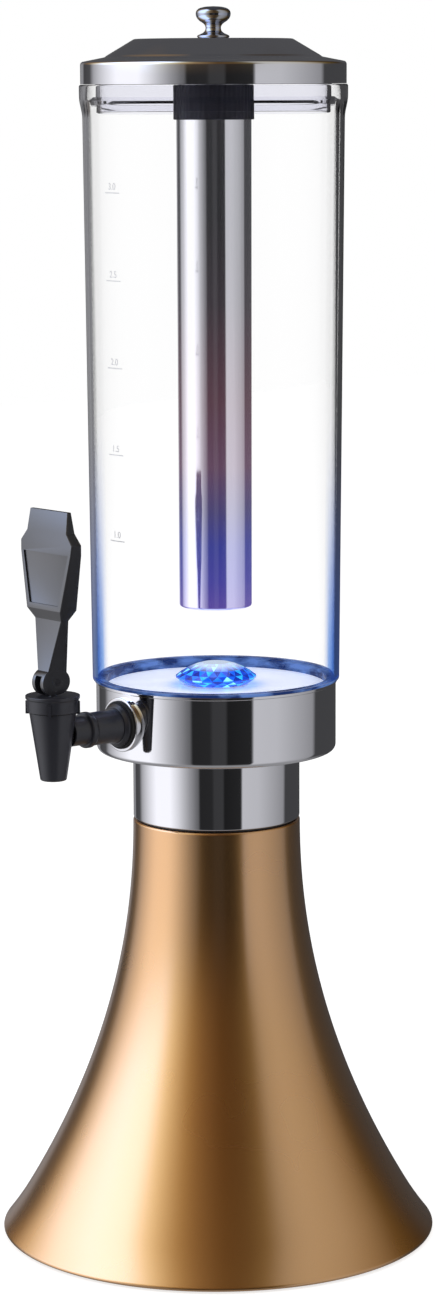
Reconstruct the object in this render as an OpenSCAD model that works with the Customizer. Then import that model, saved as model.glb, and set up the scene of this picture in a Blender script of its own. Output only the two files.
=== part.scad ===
// Beer tower dispenser: trumpet base, lit column, clear reservoir, ice tube and tap.
// The origin is the centre of the foot, the column stands along +Z and the tap faces -Y.

/* [Base] */
// Outer radius of the trumpet base at the foot
base_foot_r = 113.8; // [95:0.2:140]
// Height of the trumpet base
base_h = 220; // [175:1:280]
// Power of the flare curve, higher for a slimmer trumpet
flare_power = 2.08; // [1.7:0.01:2.6]
// Sheet thickness of the base shell
base_wall = 1.8; // [1.2:0.1:2.6]
// How far the flare kicks out at the foot, past its curve
base_kick = 1.6; // [0:0.1:3]
// Height over which the flare kicks out
base_kick_h = 20; // [10:1:40]
// Radius of the rolled edge at the foot
base_roll_r = 1.4; // [1:0.1:1.8]
// Gap between the shell's foot and the table
base_lift = 0.6; // [0.4:0.1:1]
// Width of the lip that turns in at the foot
base_lip_w = 5; // [3:0.1:8]
// Height of the foot pad under the floor plate
pad_h = 3.2; // [2.8:0.1:5]
// Thickness of the floor plate
floor_t = 3; // [2:0.1:5]
// Radius of the steel ballast plate
ballast_r = 90; // [60:1:92]
// Thickness of the steel ballast plate
ballast_t = 6; // [3:0.5:12]
// Radius of the circle of floor screws
floor_screw_circle_r = 70; // [40:1:80]
// Number of floor screws
floor_screw_n = 4; // [3:1:6]

/* [Neck] */
// Outer radius of the chrome neck
neck_r = 43.2; // [36:0.1:48]
// Visible height of the chrome neck
neck_h = 36.2; // [30:0.1:60]
// Wall of the chrome neck
neck_wall = 1.5; // [1:0.1:1.8]
// How far the base's top stands out past the neck
base_top_step = 0.2; // [0:0.1:1]
// Step from the neck's bore in to the spigot that enters the base
spigot_step = 2.2; // [1.6:0.1:3]
// Wall of the spigot
spigot_wall = 2.5; // [2:0.1:3.5]
// Depth of the spigot in the base
spigot_depth = 32; // [20:1:45]
// Wall of the socket ring in the base
socket_wall = 2; // [1.5:0.1:2.5]

/* [Collar] */
// Height of the chrome collar
collar_h = 33.8; // [31:0.1:50]
// How far the collar stands in from the foot of the reservoir
collar_inset = 1.8; // [0.8:0.1:3]
// Wall of the collar
collar_wall = 2.2; // [1.8:0.1:3]
// Rounding of the collar's lower edge
collar_round = 3; // [1:0.1:4]
// Radius of the round seat for the tap on the collar
seat_r = 13.9; // [13.2:0.1:14]
// Radius of the collar screws
collar_screw_r = 1.5; // [1:0.1:2]

/* [Reservoir] */
// Outer radius at the foot of the reservoir
tube_foot_r = 63.8; // [60:0.1:76]
// Outer radius at the top of the reservoir, under its flange
tube_top_r = 66.4; // [64:0.1:80]
// Height of the reservoir above the collar
tube_h = 306.8; // [255:1:380]
// Wall of the reservoir
tube_wall = 2.5; // [2:0.1:4]
// How far the top flange stands out past the wall
flange_out = 1.6; // [0.8:0.1:3]
// Height of the top flange at full radius
flange_h = 10.4; // [6:0.1:16]
// Height of the taper under the top flange
flange_taper_h = 4.6; // [2:0.1:8]
// Height of the step at the foot of the reservoir
step_h = 3; // [2:0.1:5]
// Width of the step at the foot of the reservoir
step_w = 4.1; // [3.5:0.1:5]
// Depth of the ring that enters the collar
ring_depth = 6.6; // [5:0.1:8]

/* [Floor and light] */
// Thickness of the white floor
basin_t = 3; // [2:0.1:4]
// Radius of the gem lens
gem_r = 21; // [18.5:0.1:26]
// Height of the gem lens above the floor
gem_h = 11.5; // [8:0.1:16]
// Radius of the stem of the gem lens
gem_stem_r = 14.8; // [12:0.1:15]
// Radius of a battery
battery_r = 5.25; // [4:0.05:6]
// Length of a battery
battery_l = 44.5; // [40:0.1:46]
// Number of lights in the ring around the middle one
led_ring_n = 6; // [4:1:8]
// Radius of the light button
button_r = 4.97; // [4:0.01:5.5]
// Twist that frees the battery cover
cover_twist = 45; // [40:1:60]
// Travel of the light button
button_travel = 1.8; // [1:0.1:2.2]

/* [Lid] */
// Height of the lid's rim
rim_h = 11; // [8:0.1:16]
// Rise of the lid's shoulder inside the rim
shoulder_rise = 2.4; // [1:0.1:4]
// Radius where the raised dome starts
dome_r = 55; // [48:0.5:58]
// Radius of the dome's flat top
dome_top_r = 40; // [30:0.5:45]
// Height of the dome above the shoulder
dome_h = 9.4; // [6:0.1:14]
// Sheet thickness of the lid
lid_wall = 1.2; // [0.8:0.1:1.6]
// Radius of the knob's head
knob_head_r = 9; // [7:0.1:12]
// Radius of the knob's waist
knob_waist_r = 4.1; // [3.2:0.1:5]
// Radius of the knob's foot
knob_foot_r = 8.65; // [6.5:0.05:12]
// Height of the knob
knob_h = 15.8; // [12:0.1:24]
// Radius of the plug ring under the lid
plug_r = 59.5; // [56:0.1:61]
// Depth of the plug ring below the reservoir's mouth
plug_depth = 13; // [8:0.1:18]

/* [Ice tube] */
// Outer radius of the ice tube at its head
ice_top_r = 19; // [17:0.1:24]
// Outer radius of the ice tube at its foot
ice_foot_r = 18.6; // [16:0.1:24]
// Length of the ice tube below its head
ice_l = 248.5; // [200:1:250]
// Wall of the ice tube
ice_wall = 0.8; // [0.5:0.1:1.2]
// Height of the dark head of the ice tube
head_h = 16.8; // [12:0.1:17.5]

/* [Tap] */
// Distance from the collar's face to the tap's axis
tap_reach = 44.5; // [40:0.5:60]
// Height of the tap's inlet above the collar's underside
tap_rise = 19.6; // [18.5:0.1:20]
// Radius of the shank
shank_r = 6; // [5:0.1:6.5]
// Radius of the passage through the shank
passage_r = 3.5; // [3:0.1:4]
// Radius of the sleeve round the shank
sleeve_r = 8.4; // [7.5:0.1:9.5]
// Radius of the flange against the seat
flange_r = 11; // [10:0.1:11.4]
// Outer radius of the tap body under its bonnet
body_r = 11.9; // [11:0.1:14]
// Outer radius of the spout
spout_r = 6.6; // [6:0.1:8]
// Radius of the spout's passage
spout_bore_r = 4.6; // [4:0.1:5]
// Drop from the inlet to the spout's lip
spout_drop = 23; // [20:0.5:30]
// Radius of the bonnet at its top
bonnet_r = 13.7; // [13.2:0.1:16]
// Height from the inlet to the bonnet's top
bonnet_rise = 20.3; // [18:0.1:24]

/* [Lever] */
// Height of the lever above the bonnet
lever_h = 92.7; // [80:0.5:120]
// Width of the lever's top edge
lever_top_w = 30.7; // [24:0.1:40]
// Width of the lever at its shoulders
lever_w = 42; // [34:0.5:50]
// Width of the lever at the foot of its panel
lever_panel_foot_w = 28; // [24:0.5:34]
// Width of the neck at its top
lever_neck_w = 22; // [18:0.5:26]
// Thickness of the lever's top edge
lever_top_t = 2.3; // [1.8:0.1:3]
// Thickness of the lever at its shoulders
lever_t = 6.2; // [4.5:0.1:7]
// Thickness of the lever at the foot of its panel
lever_panel_foot_t = 10.4; // [8:0.1:12]
// Thickness of the lever at the top of its neck
lever_neck_t = 4.4; // [3.5:0.1:6]
// Radius of the round cam at the lever's foot
cam_r = 6.6; // [6:0.1:8.5]
// Length of the cam along its pin
cam_l = 9; // [8:0.1:11]
// Offset of the cam's centre in front of its pin
cam_offset = 2.8; // [2:0.1:3.5]
// Radius of the pivot pin
pin_r = 1.5; // [1:0.1:2]
// Radius of the valve stem
stem_r = 2.2; // [1.6:0.1:2.6]

/* [Fits] */
// Radial clearance of running and sliding fits
fit = 0.08; // [0.02:0.01:0.1]
// Gap between pieces on different bodies that meet face to face
seat_gap = 0.2; // [0.1:0.05:0.3]
// Radial clearance of clearance fits
clearance = 0.3; // [0.2:0.05:0.4]

/* [Hidden] */
$fn = 72;

// Heights of the main joints between pieces, from the table up
floor_z = pad_h + floor_t;
neck_z = base_h + seat_gap;
collar_z = neck_z + neck_h;
tube_z = collar_z + collar_h;
mouth_z = tube_z + tube_h;
lid_z = mouth_z + seat_gap;

// Radii that follow from the driving ones
base_top_r = neck_r + base_top_step;
neck_bore_r = neck_r - neck_wall;
spigot_top_r = neck_bore_r - fit;
spigot_r = spigot_top_r - spigot_step;
spigot_bore_r = spigot_r - spigot_wall;
socket_bore_r = spigot_r + fit;
socket_r = socket_bore_r + socket_wall;
collar_r = tube_foot_r - collar_inset;
collar_bore_r = collar_r - collar_wall;
ring_r = collar_bore_r - clearance;
ring_bore_r = tube_foot_r - tube_wall - step_w;
basin_r = ring_bore_r - fit;

// Base details
shell_edges = 24;
base_top_round = 1.2;
floor_gap = 1.9;
socket_flange_t = 3;
socket_overlap = 8;
socket_lip_t = 1.8;
floor_screw_angles = [for (i = [0 : floor_screw_n - 1]) 45 + 360 * i / floor_screw_n];
screw_r = 2;
screw_head_r = 3.6;
screw_head_h = 1.8;

// Collar, spigot and floor details
collar_floor_t = 2.2;
spigot_flange_t = 2.5;
skirt_wall = 2;
post_r = 3.5;
post_circle_r = (neck_r + collar_bore_r) / 2;
spigot_flange_r = post_circle_r - post_r - 1;
skirt_r = spigot_flange_r - 0.2;
post_hole_h = 13;
collar_head_r = 2.8;
collar_head_h = 1;
post_angles = [90, 210, 330];
inside_z = collar_z + collar_floor_t;
flange_z = inside_z + spigot_flange_t;
basin_z = tube_z - basin_t - 0.2;
basin_top_z = basin_z + basin_t;
rim_wall = 3;
oring_r = 1.1;
groove_r = ring_bore_r - 2 * oring_r;
oring_z = basin_top_z - 5.2;

// Sump on the tap's side of the floor, clear of the light housing behind it
housing_r = spigot_bore_r - clearance;
tap_z = collar_z + tap_rise;
sump_w = 24;
sump_wall = 2;
sump_front = groove_r - 1.5;
sump_gap = 0.38;
sump_back = housing_r + sump_gap + sump_wall;
sump_floor_z = tap_z - 10.5;

// Light details
lens_gasket_t = 1;
gem_girdle_z = 4.2;
gem_girdle_t = 0.8;
gem_seat_r = 17.5;
gem_table_r = 9;
gem_crown = [0.74, 0.62];
nut_t = 3.5;
nut_w = 3.7;
housing_wall = 2;
housing_flange_t = 2;
housing_flange_r = skirt_r - skirt_wall - 1.2;
housing_screw_circle_r = (spigot_bore_r + housing_flange_r) / 2;
housing_screw_r = 1;
board_t = 1.6;
board_z = basin_z - 12.6;
board_r = housing_r - 1.8;
led_r = 2.5;
led_h = 3.4;
led_circle_r = 9;
reflector_wall = 1.2;
partition_t = 2;
battery_n = 3;
battery_angles = [for (i = [0 : battery_n - 1]) 360 * i / battery_n];
battery_circle_r = 14.5;
spring_room = 4.4;
partition_z = board_z - 10;
battery_z = partition_z - spring_room - battery_l;
cover_t = 2;
cover_z = battery_z - 0.6 - cover_t;
cover_r = housing_r - 3.2;
housing_z = cover_z - 1.9;
lug_w = 1.4;
lug_angle = 30;
lug_angles = [0, 120, 240];
cover_hub_gap = 0.3;
guide_bore_r = button_r + fit;
guide_r = guide_bore_r + 1.15;
switch_z = partition_z - 24;
switch_h = 4;
plunger_h = 1.5;
plunger_r = 1.5;
button_top_z = switch_z - plunger_h - button_travel - 0.2;
button_z = housing_z - 1.5;

// Tap details
tap_y = -(collar_r + tap_reach);
seat_y = -(collar_r + 2);
recess_depth = 1;
washer_t = 2;
washer_r = seat_r - 1.6;
flange_t = 3;
boss_r = 7.3;
boss_end = 22.7;
boss_ring_r = 9.2;
boss_ring_w = 3.7;
flange_y = seat_y + recess_depth - washer_t;
sleeve_y = flange_y - flange_t;
boss_y = tap_y + boss_end;
shank_inset = 14;
shank_end_y = -(sump_front - 8);
inner_washer_t = 1.5;
nut_hex_r = 9.2;
nut_hex_t = 4.5;
body_top_z = tap_z + bonnet_rise - 3.3;
body_neck_r = body_r - 0.5;
cavity_r = 9;
seat_z = tap_z - 11.5;
cone_h = 7;
bonnet_z = tap_z + bonnet_rise - 8.3;
bonnet_top_z = tap_z + bonnet_rise;
pin_z = bonnet_top_z + seat_gap + cam_r;
lever_top_z = bonnet_top_z + lever_h;
cup_r = 6;
cup_h = 6;
cup_gap = 1.2;
cup_foot_in = 0.2;
cup_cone_h = 2.6;
cup_top_z = seat_z + 2 + cup_h;
stem_foot_z = seat_z + 4;
stem_washer_r = 4.6;
stem_washer_t = 1;
spring_r = 3.9;
spring_wire_r = 0.45;
spring_turns = 6;
spring_gap = 0.05;
press_fit = 0.02;

// Lever heights, measured down from its top edge
shoulder_drop = [10.5, 16];
panel_drop = [21, 46.6];
panel_margin = 2.6;
panel_side_margin = 3;
panel_depth = 0.9;
bevel_drop = 54.5;
edge_thinning = 0.4;
lever_waist_t = 10;
lever_waist_rise = 4;
heel_r = 6;
heel_offset = 1.6;
slot_w = 4.6;
stem_head_t = slot_w - 2 * clearance;
stem_head_r = 3;

// Lid details
lid_r = tube_top_r + 0.85;
lid_round = 1.6;
insert_t = 2.2;
insert_r = lid_r - lid_wall - clearance;
insert_z = lid_z;
plug_wall = 2;
boss_wall = 2.4;
boss_out_r = ice_top_r - 1.1;
seal_t = 3;
seal_z = mouth_z - plug_depth + 4;
knob_z = lid_z + rim_h + shoulder_rise + dome_h;
insert_screw_circle_r = 45;
insert_screw_r = 1.2;
lid_post_r = 3;
knob_screw_r = 2;

// Ice tube details
gasket_t = 0.8;
head_top_z = insert_z - gasket_t;
head_z = head_top_z - head_h;
head_r = ice_top_r + 1.4;
ice_lap = 4;
ice_round = 2.2;

// Points on an arc about (x, y), from angle a to angle b in n steps
function arc(x, y, r, a, b, n = 6) =
    [for (i = [0 : n]) let (t = a + (b - a) * i / n) [x + r * cos(t), y + r * sin(t)]];

// Outer radius of the trumpet at height z
function flare_r(z) = base_top_r + (base_foot_r - base_top_r) * pow(1 - z / base_h, flare_power)
    + base_kick * pow(max(0, 1 - z / base_kick_h), 2);

// Slope of the trumpet's side at height z
function flare_slope(z) =
    (base_foot_r - base_top_r) * flare_power / base_h * pow(1 - z / base_h, flare_power - 1)
    + 2 * base_kick / base_kick_h * max(0, 1 - z / base_kick_h);

// Radius of the trumpet's inside at height z, for a wall of even thickness
function flare_bore_r(z) = flare_r(z) - base_wall * sqrt(1 + pow(flare_slope(z), 2));

// Outer radius of the reservoir's wall at height z
function tube_r(z) =
    tube_foot_r + (tube_top_r - tube_foot_r) * (z - tube_z) / (tube_h - flange_h - flange_taper_h);

// Outer radius of the ice tube at height z
function ice_r(z) = ice_foot_r + (ice_top_r - ice_foot_r) * (z - (head_z - ice_l)) / ice_l;

// Solid of revolution about Z from an outline of [radius, height]
module turned(outline) rotate_extrude() polygon(outline);

// Plain ring about Z
module ring(r, bore, z, h) {
    translate([0, 0, z]) difference() {
        cylinder(r = r, h = h);
        translate([0, 0, -1]) cylinder(r = bore, h = h + 2);
    }
}

// Round bar along -Y, from y = a to y = b, on the tap's inlet axis
module along_tap(r, a, b) translate([0, a, tap_z]) rotate([90, 0, 0]) cylinder(r = r, h = a - b);

// Screw that points up, with its head below height z
module screw(r, head_r, head_h, z, h) {
    translate([0, 0, z - head_h]) cylinder(r = head_r, h = head_h);
    translate([0, 0, z - head_h / 2]) cylinder(r = r, h = h + head_h / 2);
}

// Copies round the Z axis at the given angles
module at_angles(angles, r) for (a = angles) rotate([0, 0, a]) translate([r, 0, 0]) children();

// Wire coil about Z from height z to z + h, as one swept tube with closed ends
module coil(r, wire_r, turns, z, h, sides = 6, steps = 14) {
    rings = turns * steps;
    rise = (h - 2 * wire_r) / rings;
    points = [for (i = [0 : rings], k = [0 : sides - 1])
        let (a = 360 * i / steps, b = 360 * k / sides, d = r + wire_r * cos(b))
        [d * cos(a), d * sin(a), z + wire_r + rise * i + wire_r * sin(b)]];
    walls = [for (i = [0 : rings - 1], k = [0 : sides - 1])
        let (n = (k + 1) % sides, p = i * sides, q = p + sides)
        each [[p + k, p + n, q + n], [p + k, q + n, q + k]]];
    first = [for (k = [1 : sides - 2]) [0, k + 1, k]];
    last = [for (k = [1 : sides - 2]) [rings * sides, rings * sides + k, rings * sides + k + 1]];
    polyhedron(points = points, faces = concat(walls, first, last), convexity = 10);
}

// ---- Base ----

module base_shell() color("goldenrod") {
    roll_z = base_lift + base_roll_r;
    roll_end = 35;
    side_z = roll_z + base_roll_r * sin(roll_end);
    roll_x = flare_r(side_z) - base_roll_r * cos(roll_end);
    lip_top_z = pad_h;
    sides = [for (i = [0 : shell_edges]) side_z + (base_h - base_top_round - side_z) * i / shell_edges];
    top_bore_r = socket_bore_r + 1.5;
    inner = [for (i = [shell_edges : -1 : 0])
        let (z = lip_top_z + (base_h - socket_lip_t - lip_top_z) * i / shell_edges) [flare_bore_r(z), z]];
    turned(concat(
        [[flare_bore_r(lip_top_z) - base_lip_w, base_lift]],
        arc(roll_x, roll_z, base_roll_r, -90, roll_end, 8),
        [for (i = [1 : shell_edges]) [flare_r(sides[i]), sides[i]]],
        arc(base_top_r - base_top_round, base_h - base_top_round, base_top_round, 15, 90, 4),
        [[top_bore_r, base_h], [top_bore_r, base_h - socket_lip_t]],
        inner,
        [[flare_bore_r(lip_top_z) - base_lip_w, lip_top_z]]));
}

module base_floor() color("dimgray") difference() {
    translate([0, 0, pad_h]) cylinder(r = flare_bore_r(floor_z) - floor_gap, h = floor_t);
    at_angles(floor_screw_angles, floor_screw_circle_r) {
        translate([0, 0, pad_h - 1]) cylinder(r = screw_r + fit, h = floor_t + 2);
        translate([0, 0, pad_h - 1]) cylinder(r = screw_head_r + clearance, h = 1 + screw_head_h);
    }
}

module ballast_plate() color("slategray") difference() {
    translate([0, 0, floor_z]) cylinder(r = ballast_r, h = ballast_t);
    at_angles(floor_screw_angles, floor_screw_circle_r)
        translate([0, 0, floor_z - 1]) cylinder(r = screw_r + fit, h = ballast_t + 2);
}

module floor_screws() color("silver")
    at_angles(floor_screw_angles, floor_screw_circle_r)
        screw(screw_r, screw_head_r, screw_head_h, pad_h + screw_head_h, floor_t + ballast_t - screw_head_h);

module foot_pad() color("black")
    cylinder(r = flare_bore_r(pad_h) - base_lip_w - clearance, h = pad_h);

module socket_ring() color("dimgray") {
    z = base_h - spigot_depth - socket_overlap;
    top = base_h - socket_lip_t;
    difference() {
        union() {
            ring(socket_r, socket_bore_r, z, top - z);
            ring(flare_bore_r(z + socket_flange_t) - 0.1, socket_bore_r, z, socket_flange_t);
        }
        translate([0, 0, z - 1]) cylinder(r = socket_bore_r, h = top - z + 2);
    }
}

// ---- Neck and collar ----

module neck_tube() color("lightsteelblue") turned(concat(
    [[neck_bore_r, neck_z]],
    arc(neck_r - base_top_round, neck_z + base_top_round, base_top_round, -90, 0, 4),
    [[neck_r, collar_z], [neck_bore_r, collar_z]]));

module neck_spigot() color("black") difference() {
    turned([[spigot_bore_r, base_h - spigot_depth], [spigot_r - 1.2, base_h - spigot_depth],
        [spigot_r, base_h - spigot_depth + 1.2], [spigot_r, neck_z], [spigot_top_r, neck_z],
        [spigot_top_r, inside_z], [spigot_flange_r, inside_z], [spigot_flange_r, flange_z],
        [spigot_bore_r, flange_z]]);
    at_angles(post_angles, housing_screw_circle_r)
        translate([0, 0, inside_z - 2]) cylinder(r = housing_screw_r + fit, h = spigot_flange_t + 3);
}

module collar() color("silver") difference() {
    union() {
        turned(concat(
            [[spigot_top_r + fit, collar_z]],
            arc(collar_r - collar_round, collar_z + collar_round, collar_round, -90, 0),
            [[collar_r, tube_z], [collar_bore_r, tube_z], [collar_bore_r, inside_z],
                [spigot_top_r + fit, inside_z]]));
        difference() {
            along_tap(seat_r, -collar_bore_r + 6, seat_y);
            translate([0, 0, inside_z]) cylinder(r = collar_bore_r + 0.5, h = collar_h);
        }
    }
    along_tap(shank_r + clearance, -collar_bore_r + 8, seat_y - 1);
    along_tap(washer_r + 0.2, seat_y + recess_depth, seat_y - 1);
    at_angles(post_angles, post_circle_r)
        translate([0, 0, collar_z - 1]) cylinder(r = collar_screw_r + fit, h = collar_floor_t + 2);
}

module collar_screws() color("silver") at_angles(post_angles, post_circle_r)
    screw(collar_screw_r, collar_head_r, collar_head_h, collar_z, post_hole_h - 2);

// ---- Floor, sump and reservoir ----

// Box on the tap's side of the axis, between two distances from it
module sump_box(w, near, far, z, top) translate([-w / 2, -far, z]) cube([w, far - near, top - z]);

// Solid round the sump, cut off at radius r
module sump_block(r, z, top) intersection() {
    sump_box(sump_w + 2 * sump_wall, sump_back - sump_wall, collar_r, z, top);
    cylinder(r = r, h = tube_z);
}

module floor_basin() color("white") {
    outer_z = tube_z - ring_depth - 0.4;
    rim_z = oring_z - 2.6;
    difference() {
        union() {
            translate([0, 0, basin_z]) cylinder(r = basin_r, h = basin_t);
            ring(basin_r, basin_r - rim_wall, rim_z, basin_top_z - rim_z);
            ring(skirt_r, skirt_r - skirt_wall, flange_z, basin_top_z - flange_z - 1);
            sump_block(ring_r, sump_floor_z - sump_wall, outer_z);
            sump_block(basin_r, outer_z - 1, basin_top_z);
            at_angles(post_angles, post_circle_r)
                translate([0, 0, inside_z]) cylinder(r = post_r, h = basin_top_z - inside_z - 1);
        }
        sump_box(sump_w, sump_back, sump_front, sump_floor_z, basin_top_z + 1);
        along_tap(shank_r + clearance, -sump_front + 1, -collar_r);
        at_angles(post_angles, post_circle_r)
            translate([0, 0, inside_z - 1]) cylinder(r = collar_screw_r + fit, h = post_hole_h);
        ring(basin_r + 1, groove_r, oring_z - oring_r - 0.1, 2 * oring_r + 0.2);
        translate([0, 0, basin_z - 1]) cylinder(r = gem_stem_r + clearance, h = basin_t + 2);
    }
}

module basin_oring() color("black") rotate_extrude()
    translate([ring_bore_r - oring_r, oring_z]) circle(r = oring_r - 0.03);

module reservoir_tube() color("lightcyan", 0.4) {
    foot_round = 1.4;
    taper_z = mouth_z - flange_h - flange_taper_h;
    full_z = mouth_z - flange_h;
    flange_full_r = tube_top_r + flange_out;
    turned(concat(
        [[ring_bore_r, tube_z - ring_depth], [ring_r, tube_z - ring_depth], [ring_r, tube_z]],
        arc(tube_foot_r - foot_round, tube_z + foot_round, foot_round, -90, 0, 4),
        [[tube_r(taper_z), taper_z], [flange_full_r, full_z]],
        arc(flange_full_r - 1.2, mouth_z - 1.2, 1.2, 0, 90, 4),
        [[tube_top_r - tube_wall + 0.8, mouth_z], [tube_top_r - tube_wall, mouth_z - 0.8],
            [tube_r(tube_z + step_h + 1) - tube_wall, tube_z + step_h + 1],
            [tube_r(tube_z + step_h) - tube_wall - 1, tube_z + step_h],
            [ring_bore_r, tube_z + step_h]]));
}

module gem_lens() color("dodgerblue") {
    z = basin_top_z + lens_gasket_t;
    top = basin_top_z + gem_h;
    girdle_z = z + gem_girdle_z;
    turned([[0, basin_z - nut_t - 1], [gem_stem_r - 0.1, basin_z - nut_t - 1], [gem_stem_r - 0.1, z],
        [gem_seat_r, z], [gem_r, girdle_z - gem_girdle_t], [gem_r, girdle_z],
        [gem_r * gem_crown[0], girdle_z + (top - girdle_z) * gem_crown[1]], [gem_table_r, top],
        [0, top]]);
}

module lens_gasket() color("white")
    ring(gem_seat_r - 0.5, gem_stem_r + clearance, basin_top_z, lens_gasket_t);

module lens_nut() color("black")
    ring(gem_stem_r + nut_w, gem_stem_r - 0.02, basin_z - nut_t, nut_t);

// ---- Light ----

module reflector() color("white") turned([
    [gem_stem_r + 2.2, board_z + board_t], [gem_stem_r + 2.2 + reflector_wall, board_z + board_t],
    [board_r - 3, basin_z - 0.3], [board_r - 3 - reflector_wall, basin_z - 0.3]]);

module led_board() color("darkgreen") translate([0, 0, board_z]) cylinder(r = board_r, h = board_t);

// One light with a domed tip, on the board
module led() {
    z = board_z + board_t;
    translate([0, 0, z]) cylinder(r = led_r, h = led_h);
    translate([0, 0, z + led_h]) intersection() {
        sphere(r = led_r);
        translate([0, 0, led_r]) cube(2 * led_r, center = true);
    }
}

module leds() color("aliceblue") {
    led();
    at_angles([for (i = [0 : led_ring_n - 1]) 360 * i / led_ring_n], led_circle_r) led();
}

// Bayonet groove in the foot of the light housing, with an entry for each lug
module bayonet_groove() {
    translate([0, 0, cover_z - 0.3]) cylinder(r = cover_r + lug_w + 0.5, h = cover_t + 0.6);
    for (a = lug_angles) rotate([0, 0, a + cover_twist - lug_angle / 2 - 2])
        rotate_extrude(angle = lug_angle + 4)
            translate([cover_r - 1, housing_z - 1]) square([lug_w + 1.3, cover_z - housing_z + 2]);
}

module led_housing() color("dimgray") difference() {
    union() {
        difference() {
            translate([0, 0, housing_z]) cylinder(r = housing_r, h = board_z - housing_z);
            translate([0, 0, cover_z + cover_t - 0.1])
                cylinder(r = housing_r - housing_wall, h = partition_z - cover_z - cover_t + 0.1);
            translate([0, 0, partition_z + partition_t])
                cylinder(r = housing_r - housing_wall, h = board_z - partition_z);
            translate([0, 0, housing_z - 1]) cylinder(r = cover_r + clearance, h = cover_t + 4);
            bayonet_groove();
        }
        ring(housing_flange_r, housing_r - 1, flange_z, housing_flange_t);
        translate([0, 0, housing_z]) cylinder(r = guide_r, h = partition_z - housing_z + 1);
    }
    translate([0, 0, housing_z - 1]) cylinder(r = guide_bore_r, h = switch_z + switch_h - housing_z + 1);
    at_angles(post_angles, housing_screw_circle_r)
        translate([0, 0, flange_z - 1]) cylinder(r = housing_screw_r + fit, h = housing_flange_t + 2);
}

module housing_screws() color("silver") at_angles(post_angles, housing_screw_circle_r)
    translate([0, 0, flange_z + housing_flange_t]) mirror([0, 0, 1])
        screw(housing_screw_r, 1.9, 1.2, 0, housing_flange_t + spigot_flange_t - 0.6);

module batteries() color("seagreen")
    at_angles(battery_angles, battery_circle_r)
        translate([0, 0, battery_z]) {
            cylinder(r = battery_r, h = battery_l - 0.8);
            cylinder(r = 1.9, h = battery_l);
        }

module battery_springs() color("silver")
    at_angles(battery_angles, battery_circle_r) {
        coil(3, 0.35, 3, battery_z + battery_l + 0.02, spring_room - 0.5);
        translate([0, 0, partition_z - 0.45]) cylinder(r = 4.5, h = 0.4);
    }

module switch_block() color("black") {
    translate([0, 0, switch_z]) cylinder(r = guide_bore_r - 0.05, h = switch_h);
    translate([0, 0, switch_z - plunger_h]) cylinder(r = plunger_r, h = plunger_h + 1);
}

module light_button() color("red") turned([[0, button_z], [button_r - 0.8, button_z],
    [button_r, button_z + 0.8], [button_r, button_top_z], [0, button_top_z]]);

module button_spring() color("silver")
    coil(3.6, 0.3, 2, button_top_z + spring_gap, switch_z - button_top_z - 2 * spring_gap);

module battery_cover() color("black") difference() {
    union() {
        translate([0, 0, cover_z]) cylinder(r = cover_r, h = cover_t);
        for (a = lug_angles) rotate([0, 0, a - lug_angle / 2])
            rotate_extrude(angle = lug_angle)
                translate([cover_r - 1, cover_z]) square([1 + lug_w, cover_t]);
    }
    translate([0, 0, cover_z - 1]) cylinder(r = guide_r + cover_hub_gap, h = cover_t + 2);
    at_angles([0, 180], 18) translate([0, 0, cover_z - 1]) cylinder(r = 3, h = 2);
}

module cover_contact() color("silver")
    ring(battery_circle_r + 4, battery_circle_r - 4, cover_z + cover_t, 0.3);

// ---- Tap ----

module outer_washer() color("black") difference() {
    along_tap(washer_r, seat_y + recess_depth, seat_y + recess_depth - washer_t);
    along_tap(shank_r + fit, seat_y + recess_depth + 1, seat_y + recess_depth - washer_t - 1);
}

module shank_flange() color("black") translate([0, flange_y, tap_z]) rotate([90, 0, 0])
    turned([[shank_r + fit, 0], [flange_r, 0], [flange_r, 1.6], [flange_r - 1.4, flange_t],
        [shank_r + fit, flange_t]]);

module shank_sleeve() color("black") translate([0, sleeve_y, tap_z]) rotate([90, 0, 0]) turned([
    [shank_r + fit, 0], [sleeve_r + 0.6, 0], [sleeve_r, 4], [sleeve_r, sleeve_y - boss_y - 0.6],
    [sleeve_r - 0.6, sleeve_y - boss_y], [shank_r + fit, sleeve_y - boss_y]]);

module shank() color("silver") difference() {
    along_tap(shank_r, shank_end_y, tap_y + shank_inset);
    along_tap(passage_r, shank_end_y + 1, tap_y + shank_inset - 1);
}

module inner_washer() color("white") difference() {
    along_tap(nut_hex_r - 0.2, -sump_front + inner_washer_t, -sump_front);
    along_tap(shank_r + fit, -sump_front + inner_washer_t + 1, -sump_front - 1);
}

module shank_nut() color("silver") difference() {
    translate([0, -sump_front + inner_washer_t + nut_hex_t, tap_z]) rotate([90, 0, 0])
        cylinder(r = nut_hex_r, h = nut_hex_t, $fn = 6);
    along_tap(shank_r + fit, -sump_front + 10, -sump_front - 1);
}

module tap_body() color("black") difference() {
    spout_z = tap_z - spout_drop;
    union() {
        translate([0, tap_y, 0]) turned(concat(
            [[0, spout_z]],
            arc(spout_r - 1, spout_z + 1, 1, -90, 0, 4),
            [[body_r, bonnet_z - 0.3], [body_neck_r, bonnet_z - 0.3], [body_neck_r, body_top_z],
                [0, body_top_z]]));
        along_tap(boss_r, boss_y, tap_y + 4);
        translate([0, boss_y, tap_z]) rotate([90, 0, 0]) turned(concat(
            [[0, 0]],
            arc(boss_ring_r - 1.2, 1.2, 1.2, -90, 0, 4),
            arc(boss_ring_r - 1.2, boss_ring_w - 1.2, 1.2, 0, 90, 4),
            [[0, boss_ring_w]]));
    }
    translate([0, tap_y, 0]) turned([[0, spout_z - 1], [spout_bore_r, spout_z - 1], [spout_bore_r, seat_z],
        [cavity_r, seat_z + cone_h], [cavity_r, body_top_z + 1], [0, body_top_z + 1]]);
    along_tap(shank_r + fit, boss_y + 1, tap_y + shank_inset - 0.1);
    along_tap(passage_r, boss_y, tap_y);
}

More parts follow.
